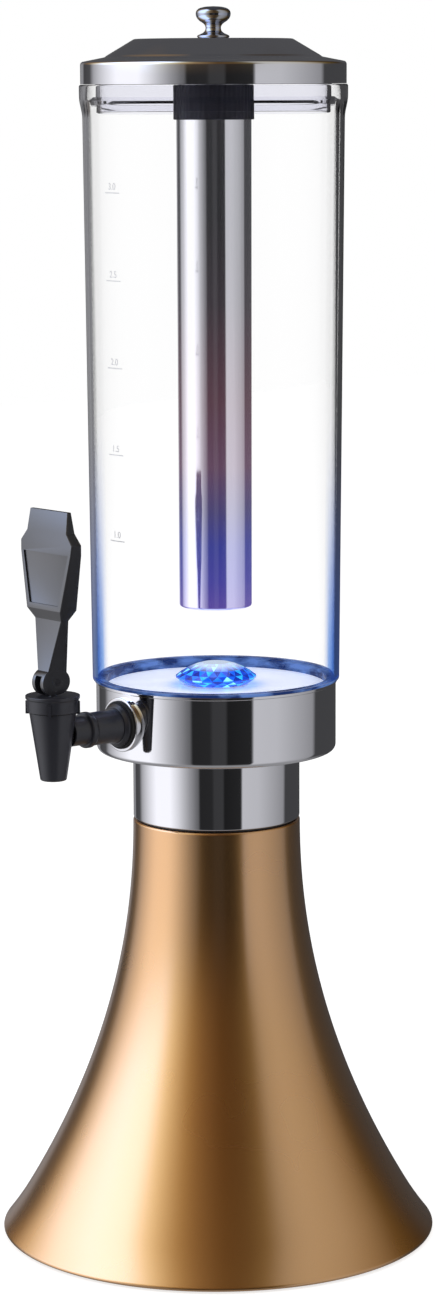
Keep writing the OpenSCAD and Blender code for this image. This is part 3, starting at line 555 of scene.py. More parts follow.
def moulded(name, shade, roughness, grain_scale=900, grain=0.12, tone=0.12, **sockets):
    """Moulded plastic or rubber with fine grain and slight tone changes."""
    tree, shader = new_finish(name, Roughness=roughness, **sockets)
    fine, cloud = noise(tree, grain_scale, detail=2.0), noise(tree, 45)
    dark, pale = scaled(shade, 1 - tone), scaled(shade, 1 + tone)
    fill(shader, {"Base Color": cloud.spread(0.0, 1.0).blend(dark, pale),
                  "Roughness": fine.spread(roughness * 0.88, min(1.0, roughness * 1.12))})
    bump(shader, fine, grain, 0.0001)
    return tree, shader


def lever_black(shade):
    """Black moulding, glossier on its front and back faces than on its sides."""
    tree, shader = moulded("lever_black", shade, 0.36, tone=0.08, Coat_Roughness=0.34, Coat_IOR=2.2,
                           Specular_IOR_Level=0.25)
    facing = output(tree, "ShaderNodeNewGeometry", name="Normal").parts()[1].math("ABSOLUTE")
    fill(shader, {"Coat Weight": facing.spread(0.12, 1.0, 0.55, 0.9)})


def turned_metal(name, shade, roughness):
    """Machined metal with fine rings from the lathe."""
    tree, shader = new_finish(name, Metallic=1.0, Roughness=roughness)
    rings = noise(tree, 500, detail=2.0, stretch=(0.15, 0.15, 3))
    fill(shader, {"Roughness": rings.spread(roughness * 0.75, roughness * 1.3),
                  "Base Color": rings.spread(0.0, 0.4).blend(shade, scaled(shade, 0.8))})
    bump(shader, rings, 0.05, 0.0001)


def make_finishes():
    """Makes every finish once."""
    colours = bpy.context.scene.tower_colours
    gold_paint(tuple(colours.gold))
    chrome("chrome", tuple(colours.chrome))
    # Painted shade: a darker, bluer copy of the chrome for the knob, dulling and cooling its reflections.
    chrome("shaded_chrome", (0.50, 0.53, 0.62))
    ice_steel()
    clear_wall()
    clear_plastic("clear_plug", 1.06, 0.03, (0.90, 0.90, 0.94))
    clear_plastic("clear_lip", 1.03, 0.05, (0.92, 0.92, 0.95))
    lit_white()
    gem_glass()
    lever_black(scaled(colours.charcoal, 0.3))
    moulded("charcoal", scaled(colours.charcoal, 0.6), 0.32, tone=0.08, Coat_Weight=0.2, Coat_Roughness=0.3)
    moulded("black_rubber", (0.015, 0.015, 0.016), 0.72, grain_scale=1400, grain=0.25)
    moulded("print_grey", (0.78, 0.79, 0.83), 0.6, tone=0.04)
    for name, shade, roughness, more in (
            ("black_plastic", (0.022, 0.022, 0.025), 0.42, {}),
            ("navy_plastic", (0.020, 0.020, 0.032), 0.45, {"Specular_IOR_Level": 0.3}),
            ("silicone", (0.78, 0.80, 0.82), 0.5,
             {"Subsurface_Weight": 0.1, "Subsurface_Radius": mm(2, 2, 2)}),
            ("board_green", (0.02, 0.16, 0.06), 0.35, {}),
            ("sleeve_green", (0.05, 0.2, 0.1), 0.3, {}),
            ("button_red", (0.5, 0.02, 0.02), 0.28, {}),
            ("clear_light", (0.75, 0.85, 1.0), 0.12,
             {"Emission_Strength": 0.6, "Emission_Color": (0.3, 0.5, 1.0)})):
        moulded(name, shade, roughness, **more)
    for name, shade, roughness in (
            ("steel", (0.60, 0.61, 0.63), 0.28), ("black_steel", (0.05, 0.05, 0.055), 0.4),
            ("nickel", (0.74, 0.71, 0.62), 0.3)):
        turned_metal(name, shade, roughness)


# ---- Geometry Nodes helpers ----

SOCKET_KINDS = {float: "NodeSocketFloat", int: "NodeSocketInt", type(None): "NodeSocketMaterial"}


def node_group(name, defaults):
    """Geometry tree and its named inputs; an input without a default takes a material."""
    tree = bpy.data.node_groups.new(name, "GeometryNodeTree")
    tree.interface.new_socket("Geometry", in_out="OUTPUT", socket_type="NodeSocketGeometry")
    for label, default in defaults.items():
        socket = tree.interface.new_socket(label, in_out="INPUT", socket_type=SOCKET_KINDS[type(default)])
        if default is not None:
            socket.default_value = default
    given = tree.nodes.new("NodeGroupInput").outputs
    return tree, {label: Value(given[label]) for label in defaults}


def finish_tree(tree, geometry, material):
    """Ends a tree in Realize Instances and Set Material."""
    real = output(tree, "GeometryNodeRealizeInstances", {"Geometry": geometry})
    paint = output(tree, "GeometryNodeSetMaterial", {"Geometry": real, "Material": material})
    node(tree, "NodeGroupOutput", {"Geometry": paint})
    return tree


def copies(tree, points, instance):
    """One instance on each point."""
    return output(tree, "GeometryNodeInstanceOnPoints", {"Points": points, "Instance": instance})


def run_group(tree, name, values):
    """Runs a geometry tree on an empty mesh and returns what it makes as a bmesh."""
    holder = add_object(name + ".holder", bpy.data.meshes.new(name + ".seed"))
    modifier = holder.modifiers.new("Shape", "NODES")
    modifier.node_group = tree
    identifiers = {s.name: s.identifier for s in tree.interface.items_tree if s.in_out == "INPUT"}
    values["Finish"] = FINISHES[PIECES[name][0]]
    for label, value in values.items():
        modifier[identifiers[label]] = value
    mesh = evaluated(holder)
    holder.modifiers.remove(modifier)
    bpy.data.objects.remove(holder)
    return from_mesh(mesh)


def flare_tree():
    """Trumpet shell: grid rows climb the outside on a power curve and come back down the inside."""
    tree, g = node_group("Flared shell", {
        "Foot Radius": 0.11, "Top Radius": 0.04, "Height": 0.22, "Power": 2.0, "Kick": 0.0016,
        "Kick Height": 0.02, "Start Height": 0.003, "Wall": 0.002, "Top Round": 0.0012,
        "Segments": 257, "Rows": 241, "Finish": None})
    grid = output(tree, "GeometryNodeMeshGrid", {
        "Size X": 1.0, "Size Y": 1.0, "Vertices X": g["Segments"], "Vertices Y": g["Rows"]})
    x, y, _ = output(tree, "GeometryNodeInputPosition").parts()
    turn, way = (x + 0.5) * (2 * pi), (y + 0.5) * 2.0
    inside = way.math("GREATER_THAN", 1.0001) * way.math("LESS_THAN", 1.9999)
    climb = 1.0 - (way - 1.0).math("ABSOLUTE")
    z = (1.0 - (1.0 - climb) ** 1.6) * (g["Height"] - g["Start Height"]) + g["Start Height"]
    rest = (1.0 - z / g["Height"]).math("MAXIMUM", 0.0)
    radius = rest ** g["Power"] * (g["Foot Radius"] - g["Top Radius"]) + g["Top Radius"]
    kick = (1.0 - z / g["Kick Height"]).math("MAXIMUM", 0.0)
    radius = kick * kick * g["Kick"] + radius
    above = (z - (g["Height"] - g["Top Round"])).math("MAXIMUM", 0.0)
    share = (above / g["Top Round"]).math("MINIMUM", 1.0)
    drop = (1.0 - (1.0 - share * share).math("SQRT")) * g["Top Round"]
    radius = radius - drop - inside * g["Wall"]
    spot = vector(tree, radius * turn.math("COSINE"), radius * turn.math("SINE"), z)
    shape = output(tree, "GeometryNodeSetPosition", {"Geometry": grid, "Position": spot})
    seam = output(tree, "GeometryNodeMergeByDistance", {"Geometry": shape, "Distance": 1e-6})
    return finish_tree(tree, seam, g["Finish"])


def tick_tree():
    """Level ticks: bars at an even step up the drafted wall, bent to its round."""
    tree, g = node_group("Level ticks", {
        "Count": 5, "Lowest": 0.37, "Step": 0.0435, "Wall Radius": 0.064, "Draft": 0.0089, "Half Angle": 0.12,
        "Height": 0.0006, "Ink": 0.00006, "Finish": None})
    bar = output(tree, "GeometryNodeMeshCube", {
        "Size": (1.0, 1.0, 1.0), "Vertices X": 14, "Vertices Y": 2, "Vertices Z": 2})
    step = g["Step"] * 1000.0  # wide apart at first, so that a point's height tells its bar
    line = {"Count": g["Count"], "Offset": vector(tree, z=step)}
    rows = output(tree, "GeometryNodeMeshLine", line, mode="OFFSET")
    bars = output(tree, "GeometryNodeRealizeInstances", {"Geometry": copies(tree, rows, bar)})
    x, y, z = output(tree, "GeometryNodeInputPosition").parts()
    index = (z / step).math("ROUND")
    height = index * g["Step"] + g["Lowest"] + (z - index * step) * g["Height"]
    radius = (0.5 - y) * g["Ink"] + (g["Draft"] * height + g["Wall Radius"])
    turn = x * (g["Half Angle"] * 2.0)
    spot = vector(tree, radius * turn.math("SINE"), radius * turn.math("COSINE") * -1.0, height)
    shape = output(tree, "GeometryNodeSetPosition", {"Geometry": bars, "Position": spot})
    return finish_tree(tree, shape, g["Finish"])


def screw_tree():
    """Cross-recessed screws set round a circle with their heads down."""
    tree, g = node_group("Screw ring", {
        "Count": 3, "Circle Radius": 0.05, "Phase": 0.0, "Head Radius": 0.0028, "Head Height": 0.0016,
        "Shank Radius": 0.0015, "Length": 0.01, "Under Head": 0.25, "Finish": None})
    head_r, head_h = g["Head Radius"], g["Head Height"]

    def cone(foot, top, depth, sides):
        sizes = {"Vertices": sides, "Radius Top": top, "Radius Bottom": foot, "Depth": depth}
        return output(tree, "GeometryNodeMeshCone", sizes)

    def moved(mesh, z, turn=0.0):
        place = {"Geometry": mesh, "Translation": vector(tree, z=z), "Rotation": vector(tree, z=turn)}
        return output(tree, "GeometryNodeTransform", place)

    shank = moved(cone(g["Shank Radius"], g["Shank Radius"], g["Length"], 24), head_h * 0.9)
    recess = node(tree, "GeometryNodeMeshBoolean", {"Mesh 1": cone(head_r * 0.86, head_r, head_h, 40)},
                  operation="DIFFERENCE")
    for across, along in ((1.15, 0.26), (0.26, 1.15)):
        size = vector(tree, head_r * across, head_r * along, head_h)
        slot = output(tree, "GeometryNodeMeshCube", {"Size": size})
        fill(recess, {"Mesh 2": moved(slot, head_h * -0.5)})
    screw = node(tree, "GeometryNodeJoinGeometry", {"Geometry": recess.outputs["Mesh"]})
    fill(screw, {"Geometry": shank})
    circle = output(tree, "GeometryNodeMeshCircle", {"Vertices": g["Count"], "Radius": g["Circle Radius"]})
    ring = copies(tree, circle, Value(screw.outputs["Geometry"]))
    return finish_tree(tree, moved(ring, g["Under Head"], g["Phase"]), g["Finish"])


def with_modifiers(bm, name, steps):
    """Plain mesh after modifiers given as (kind, settings)."""
    def stood(shape):
        bmesh.ops.recalc_face_normals(shape, faces=shape.faces)
        return add_object(name + ".raw", to_mesh(shape, name + ".raw"))

    holders = [stood(bm)]
    for kind, settings in steps:
        modifier = holders[0].modifiers.new(kind, kind)
        for key, value in settings.items():
            if isinstance(value, bmesh.types.BMesh):
                holders.append(stood(value))
                value = holders[-1]
            setattr(modifier, key, value)
    result = evaluated(holders[0])
    for spare in reversed(holders):
        bpy.data.objects.remove(spare)
    result.name = name
    return result


# ---- Makers ----

class TowerMaker:
    """Shared settings of the makers"""
    bl_options = {"REGISTER", "UNDO"}


def flare_radius(sizes, z):
    """Radius of the painted flare at a height."""
    rest = max(0.0, 1 - z / sizes.flare_height)
    kick = max(0.0, 1 - z / sizes.kick_height)
    curve = sizes.flare_top_radius + (sizes.foot_radius - sizes.flare_top_radius) * rest ** sizes.flare_power
    return curve + sizes.kick * kick ** 2


class TOWER_OT_base(TowerMaker, bpy.types.Operator):
    """Painted flare with its rolled hem and top lip"""
    bl_idname = "tower.base"
    bl_label = "Base"

    def execute(self, context):
        sizes = context.scene.tower_sizes
        foot_z, top = low("base_shell").z, sizes.flare_height
        roll, lip_w, lip_t, wall, top_round = mm(1.4, 5, 2.6, 2.1, 1.2)
        roll_end = radians(35)
        roll_z = foot_z + roll
        side_z = roll_z + roll * sin(roll_end)
        skin = run_group(flare_tree(), "base_skin", {
            "Foot Radius": sizes.foot_radius, "Top Radius": sizes.flare_top_radius, "Height": top,
            "Power": sizes.flare_power, "Kick": sizes.kick, "Kick Height": sizes.kick_height,
            "Start Height": side_z, "Wall": wall, "Top Round": top_round, "Segments": 257, "Rows": 241})
        side_r = flare_radius(sizes, side_z)
        roll_x = side_r - roll * cos(roll_end)
        hem = [(roll_x - lip_w, foot_z), (roll_x, foot_z)]
        for k in range(1, 13):
            a = -pi / 2 + (roll_end + pi / 2) * k / 12
            hem.append((roll_x + roll * cos(a), roll_z + roll * sin(a)))
        hem += [(side_r - 0.9 * MM, side_z + 0.4 * MM), (roll_x - lip_w, foot_z + lip_t)]
        bore_r, edge_r = 39.9 * MM, sizes.flare_top_radius - 1.4 * MM
        lip_z, lip_top = top - 1.8 * MM, top - 0.05 * MM
        lip = [(bore_r, lip_z), (edge_r, lip_z), (edge_r, lip_top), (bore_r, lip_top)]
        shown("base_skin", joined([skin, lathe(hem, 256), lathe(lip, 256)]), 40)
        return {"FINISHED"}


class TOWER_OT_feet(TowerMaker, bpy.types.Operator):
    """Ribbed rubber pad and the screws under the base"""
    bl_idname = "tower.feet"
    bl_label = "Pad and fixings"

    # Piece, count, radius of the circle in millimetres or None for the construction's, first bearing,
    # then radius and height of the head and radius of the shank in millimetres
    FIXINGS = (("collar_fixings", 3, None, 90, 2.8, 1.0, 1.5), ("floor_fixings", 4, 70, 45, 3.6, 1.8, 2.0))

    def execute(self, context):
        pad_r, pad_top = radius_of("foot_pad"), high("foot_pad").z
        groove, pitch, r = 0.5 * MM, 6 * MM, pad_r - 4 * MM
        outline = [(0, pad_top), (pad_r, pad_top), (pad_r, 0.6 * MM), (pad_r - 0.6 * MM, 0)]
        while r > 2 * pitch:
            outline += [(r, 0), (r - 0.4 * MM, groove), (r - 1.4 * MM, groove), (r - 1.8 * MM, 0)]
            r -= pitch
        shown("foot_tread", lathe(outline + [(0, 0)], 160))
        for name, number, circle, bearing, *sizes in self.FIXINGS:
            head_r, head_h, shank_r = mm(*sizes)
            first, last = (place(PIECES[name][2][0]) for place in (low, high))
            circle_r = circle * MM if circle else max(-first.x, last.y) - head_r
            shown(name, run_group(screw_tree(), name, {
                "Count": number, "Circle Radius": circle_r, "Phase": radians(bearing), "Head Radius": head_r,
                "Head Height": head_h, "Shank Radius": shank_r, "Length": last.z - first.z - head_h * 0.9,
                "Under Head": first.z}))
        return {"FINISHED"}


class TOWER_OT_column(TowerMaker, bpy.types.Operator):
    """Chrome neck and collar, with the round seat for the tap"""
    bl_idname = "tower.column"
    bl_label = "Neck and collar"

    def execute(self, context):
        neck_r, (foot, top) = radius_of("neck_tube"), span_z("neck_tube")
        foot, bore_r = foot + 0.9 * MM, neck_r - 1.5 * MM
        shown("neck_skin", turned([(bore_r, foot), (neck_r, foot, 0.9), (neck_r, top), (bore_r, top)], 256))
        collar_r, bore_r, foot, top = high("collar").x, neck_r - 2.3 * MM, low("collar").z, collar_top()
        wall, bead_r = 2.2 * MM, collar_r + 0.45 * MM
        can = turned([(bore_r, foot), (collar_r, foot, 3.2), (collar_r, top - 1.7 * MM),
                      (bead_r, top - 1.4 * MM, 0.3), (bead_r, top, 0.3), (collar_r - wall, top),
                      (collar_r - wall, foot + wall), (bore_r, foot + wall)], 320, 8)
        seat_r, bore_r, start, face = 13.9 * MM, 11.8 * MM, collar_r - 3.0 * MM, -low("collar").y
        seat = turned([(bore_r, start), (seat_r, start), (seat_r, face, 0.7), (bore_r, face, 0.35)], 96, 5,
                      along_tap())
        shown("collar_skin", joined([can, seat]))
        return {"FINISHED"}


class TOWER_OT_reservoir(TowerMaker, bpy.types.Operator):
    """Clear drafted reservoir with its flange and stepped foot"""
    bl_idname = "tower.reservoir"
    bl_label = "Reservoir"

    def execute(self, context):
        sizes = context.scene.tower_sizes
        foot_r, top_r, wall = sizes.reservoir_foot_radius, sizes.reservoir_top_radius, sizes.reservoir_wall
        full_r, (ring_z, mouth), seat_z = radius_of("reservoir_tube"), span_z("reservoir_tube"), collar_top()
        flange_h, taper_h, gap = mm(7.4, 7.6, 0.02)
        full_z, taper_z = mouth - flange_h, mouth - flange_h - taper_h
        step_z, lift_z = seat_z + STEP_HEIGHT, seat_z + gap
        ring_r, bore_r = high("collar").x - 2.5 * MM, foot_r - wall - 4.1 * MM
        inner_r = foot_r + (top_r - foot_r) * STEP_HEIGHT / (taper_z - seat_z) - wall
        shown("reservoir_wall", turned([
            (bore_r, ring_z), (ring_r, ring_z, 0.4), (ring_r, lift_z), (foot_r, lift_z, 1.3),
            (top_r, taper_z, 24), (full_r, full_z, 24), (full_r, mouth, 1.2), (top_r - wall, mouth, 0.8),
            (top_r - wall, full_z, 0.1), (inner_r, step_z, 1.2), (bore_r, step_z, 0.6)], 288), 45)
        return {"FINISHED"}


class TOWER_OT_marks(TowerMaker, bpy.types.Operator):
    """Printed level ticks and litre numbers on the reservoir"""
    bl_idname = "tower.marks"
    bl_label = "Level marks"

    def execute(self, context):
        sizes = context.scene.tower_sizes
        foot_r, foot_z = sizes.reservoir_foot_radius, collar_top()
        draft = (sizes.reservoir_top_radius - foot_r) / (high("reservoir_tube").z - 15 * MM - foot_z)
        proud, half_width, bar_h, ink, size, relief = mm(0.02, 5.5, 0.5, 0.06, 4.8, 0.05)
        print_r = foot_r - draft * foot_z + proud
        shown("level_ticks", run_group(tick_tree(), "level_ticks", {
            "Count": sizes.mark_count, "Lowest": sizes.lowest_mark, "Step": sizes.mark_step,
            "Wall Radius": print_r, "Draft": draft, "Half Angle": half_width / foot_r, "Height": bar_h,
            "Ink": ink}))
        numbers = []
        for i in range(sizes.mark_count):
            text = bpy.data.curves.new("number", "FONT")
            text.body = "%.1f" % (1 + i / 2)
            text.size, text.extrude, text.align_x = size, relief, "CENTER"
            holder = add_object("number", text)
            bm = from_mesh(evaluated(holder))
            bpy.data.objects.remove(holder)
            for vert in bm.verts:
                z = sizes.lowest_mark + sizes.mark_step * i + 1.6 * MM + vert.co.y
                radius = print_r + draft * z + relief + vert.co.z
                turn = vert.co.x / radius
                vert.co = (radius * sin(turn), -radius * cos(turn), z)
            numbers.append(bm)
        shown("level_numbers", joined(numbers))
        return {"FINISHED"}


class TOWER_OT_gem(TowerMaker, bpy.types.Operator):
    """Cut stone that passes the light into the reservoir"""
    bl_idname = "tower.gem"
    bl_label = "Gem"

    # Share of the girdle's radius, height over the seat in millimetres, turn in facets
    CUT = ((0.82, 0, 0.0), (0.93, 1.6, 0.5), (1.0, 3.0, 0.0), (1.0, 3.7, 0.0), (0.88, 5.6, 0.5),
           (0.70, 7.8, 0.0), (0.50, 9.6, 0.5), (0.34, 10.5, 0.0))

    def execute(self, context):
        facets = context.scene.tower_sizes.gem_facets
        girdle, (foot, top) = radius_of("gem_lens"), span_z("gem_lens")
        seat, stem = top - self.CUT[-1][1] * MM, 14.6 * MM
        plan = [(stem, foot, 0.0), (stem, seat, 0.0)]
        plan += [(girdle * share, seat + rise * MM, turn) for share, rise, turn in self.CUT]
        bm = bmesh.new()
        rings = []
        for radius, z, turn in plan:
            turns = [2 * pi * (k + turn) / facets for k in range(facets)]
            rings.append([bm.verts.new((radius * cos(a), radius * sin(a), z)) for a in turns])
        for lower, upper, a, b in zip(plan, plan[1:], rings, rings[1:]):
            for k in range(facets):
                n = (k + 1) % facets
                if lower[2] == upper[2]:
                    faces = ((a[k], a[n], b[n], b[k]),)
                elif lower[2] < upper[2]:
                    faces = ((a[k], a[n], b[k]), (a[n], b[n], b[k]))
                else:
                    faces = ((a[k], b[n], b[k]), (a[k], a[n], b[n]))
                for face in faces:
                    bm.faces.new(face)
        bm.faces.new(rings[-1])
        bm.faces.new(rings[0])
        bmesh.ops.recalc_face_normals(bm, faces=bm.faces)
        mesh = to_mesh(bm, "gem_stone")
        # Each facet's facet_tone picks its painted glow colour in gem_glass.
        tones = [(i * 0.618034 + (i // facets) * 0.37) % 1.0 for i in range(len(mesh.polygons))]
        mesh.attributes.new("facet_tone", "FLOAT", "FACE").data.foreach_set("value", tones)
        shown("gem_stone", mesh)
        return {"FINISHED"}


class TOWER_OT_lid(TowerMaker, bpy.types.Operator):
    """Chrome lid with its raised dome, turned knob, clear plug and lip seal"""
    bl_idname = "tower.lid"
    bl_label = "Lid"

    # Radius and height of the knob's outline in millimetres, and the height that they are drawn for
    KNOB = ((7.7, 0.02), (8.2, 0.6), (8.1, 1.3), (6.9, 1.9), (5.1, 2.7), (4.1, 3.9), (3.8, 5.2), (4.1, 6.5),
            (5.1, 7.7), (7.0, 8.9), (8.4, 10.5), (8.9, 12.4), (8.6, 14.2), (7.1, 15.5), (4.2, 16.3))
    KNOB_HEIGHT = 16.5

    def execute(self, context):
        lid_r, foot, top = radius_of("lid_cover"), low("lid_cover").z, low("knob").z
        t, dome_r, flat_r, rim, rise = mm(1.2, 55, 40, 11, 2.4)
        rim_z = foot + rim
        shoulder = rim_z + rise
        outside = [(lid_r, foot), (lid_r, rim_z, 1.9), (dome_r, shoulder, 0.9),
                   (dome_r - 1.4 * MM, shoulder + 1.0 * MM, 0.8), (flat_r, top - 0.35 * MM, 2.6), (0, top)]
        inside = [(0, top - t), (flat_r - t * 0.4, top - t - 0.4 * MM, 2),
                  (dome_r - t, shoulder - 0.3 * MM, 1), (lid_r - t, rim_z - t, 1), (lid_r - t, foot)]
        shown("lid_dome", lathe(rounded(outside, 8) + rounded(inside, 5), 320), 28)
        self.knob(*span_z("knob"))
        self.plug(foot)
        return {"FINISHED"}

    def knob(self, foot, top):
        """Mushroom knob with a beaded foot, a drawn-in waist and a rounded cap."""
        scale = (top - foot) / self.KNOB_HEIGHT
        points = [(0, foot + 0.02 * MM)] + [(r * MM, foot + h * scale, 20) for r, h in self.KNOB] + [(0, top)]
        shown("knob_turned", turned(points, 160, 5), 50)

    def plug(self, lid_z):
        """Clear plate and plug ring that centre the lid and hold the ice tube's boss."""
        plate_r, foot, plate_top = radius_of("lid_insert"), low("lid_insert").z, lid_z + 2.2 * MM
        plug_r, plug_bore = 59.5 * MM, 57.5 * MM
        boss_r, boss_foot = radius_of("ice_tube_head") - 2.5 * MM, low("ice_tube_head").z + 5 * MM
        boss_bore = boss_r - 2.4 * MM
        shown("lid_plug", turned([
            (0, plate_top), (plate_r, plate_top, 0.5), (plate_r, lid_z, 0.5), (plug_r, lid_z, 0.5),
            (plug_r, foot, 0.8), (plug_bore, foot, 0.8), (plug_bore, lid_z, 0.6), (boss_r, lid_z, 0.6),
            (boss_r, boss_foot, 0.5), (boss_bore, boss_foot, 0.5), (boss_bore, lid_z, 0.5), (0, lid_z)],
            224, 4))
        seal_r, (z0, z1) = radius_of("lid_seal"), span_z("lid_seal")
        inner_r, heel_r = plug_r + 0.02 * MM, plug_r + 1.4 * MM
        shown("lid_lip", turned([(inner_r, z0), (heel_r, z0, 0.4), (seal_r, (z0 + z1) / 2, 0.3),
                                 (heel_r, z1, 0.4), (inner_r, z1)], 224, 4))


class TOWER_OT_ice_tube(TowerMaker, bpy.types.Operator):
    """Drawn steel ice tube and its dark screwed head"""
    bl_idname = "tower.ice_tube"
    bl_label = "Ice tube"

    def execute(self, context):
        top_r, (foot, top), foot_r, wall = radius_of("ice_tube"), span_z("ice_tube"), 18.6 * MM, 0.8 * MM
        shown("ice_sleeve", turned([(0, foot), (foot_r, foot, 1.5), (top_r, top), (top_r - wall, top),
                                    (foot_r - wall, foot + wall, 0.7), (0, foot + wall)], 192, 8), 40)
        head_r, (z0, z1), ribs = radius_of("ice_tube_head"), span_z("ice_tube_head"), 48
        bore_r, hole_r, rest_z = head_r - 2.4 * MM, top_r + 0.03 * MM, z0 + 4 * MM

        def grip(turn, radius, height):
            inside = z0 + 1.4 * MM < height < z1 - 1.4 * MM and radius > head_r - 0.4 * MM
            return -0.22 * MM * (0.5 - 0.5 * cos(ribs * turn)) if inside else 0.0
        outline = rounded([(hole_r, z0), (head_r, z0, 0.7), (head_r, z0 + 1.5 * MM), (head_r, z1 - 1.5 * MM),
                           (head_r, z1, 0.6), (bore_r, z1, 0.3), (bore_r, rest_z), (hole_r, rest_z)], 5)
        shown("ice_cap", lathe(outline, 384, grip))
        return {"FINISHED"}


class TOWER_OT_tap(TowerMaker, bpy.types.Operator):
    """Moulded tap: body with its spout, bonnet with a key, sleeve, flange and washer"""
    bl_idname = "tower.tap"
    bl_label = "Tap"

    def execute(self, context):
        at_tap = Matrix.Translation((0, TAP_Y, 0))
        self.body(at_tap)
        self.bonnet(at_tap)
        self.inlet()
        return {"FINISHED"}

    def body(self, at_tap):
        """Cone that narrows to the spout, with a ringed inlet boss."""
        body_r, (foot, top) = radius_of("tap_body"), span_z("tap_body")
        shoulder_z = low("bonnet").z - 0.3 * MM
        neck_r, chamber_r, spout_r, bore_r, edge, seat_depth = mm(11.4, 9, 6.6, 4.6, 0.5, 11.5)
        seat_z = TAP_Z - seat_depth
        outline = rounded([(bore_r, foot), (spout_r, foot, 1.0), (body_r, shoulder_z, 0.5),
                           (neck_r, shoulder_z), (neck_r, top), (chamber_r, top),
                           (chamber_r, seat_z + 7 * MM), (bore_r, seat_z)])
        outline[:1] = [Vector((bore_r, foot + edge)), Vector((bore_r + edge, foot))]
        cone = placed(lathe(outline, 128), at_tap)
        boss_r, ring_r, ring_w, bore_r = mm(7.3, 9.2, 3.7, 6.1)
        start, end = -TAP_Y - 22.7 * MM, -TAP_Y - 9.4 * MM
        boss = turned([(bore_r, start), (ring_r, start, 1.3), (ring_r, start + ring_w, 1.3),
                       (boss_r, start + ring_w + 0.2 * MM, 0.8), (boss_r, end), (bore_r, end)], 96,
                      matrix=along_tap())
        shown("tap_casting", joined([cone, boss]))

    def bonnet(self, at_tap):
        """Screwed bonnet with a thin flared lip and four small keys round its side."""
        r, (z0, z1) = radius_of("bonnet"), span_z("bonnet")
        stem_r, neck_r, neck_top = 2.3 * MM, 11.48 * MM, high("tap_body").z + 0.1 * MM
        parts = [turned([(neck_r, z0), (r - 0.7 * MM, z0, 0.4), (r - 0.55 * MM, z1 - 2.1 * MM, 0.5),
                         (r, z1 - 1.5 * MM, 0.4), (r, z1, 0.5), (stem_r, z1), (stem_r, neck_top),
                         (neck_r, neck_top)], 160, 5, at_tap)]
        for k in range(4):
            key = box_mesh((r - 2.2 * MM, -0.7 * MM, z1 - 9.5 * MM), (r - 0.02 * MM, 0.8 * MM, z1 - 3 * MM))
            parts.append(placed(key, at_tap @ Matrix.Rotation(radians(-44.5 + 90 * k), 4, "Z")))
        shown("tap_bonnet", joined(parts))

    def inlet(self):
        """Sleeve, flange and rubber washer between the tap and the collar."""
        bore = radius_of("shank") + 0.08 * MM

        def ring(name, outline):
            part = PIECES[name][2][0]
            start, end, r = -high(part).y, -low(part).y, radius_of(part)
            shown(name, turned([(bore, start), *outline(start, end, r), (bore, end)], 96, 5, along_tap()))
        ring("tap_sleeve", lambda start, end, r: (
            (r, start, 0.2), (r - 0.5 * MM, start + 4 * MM, 1.5), (r - 0.6 * MM, end, 0.6)))
        ring("tap_flange", lambda start, end, r: (
            (r, start, 0.5), (r, start + 1.6 * MM, 0.5), (r - 1.4 * MM, end, 0.5)))
        ring("tap_washer", lambda start, end, r: ((r, start, 0.3), (r, end, 0.4)))


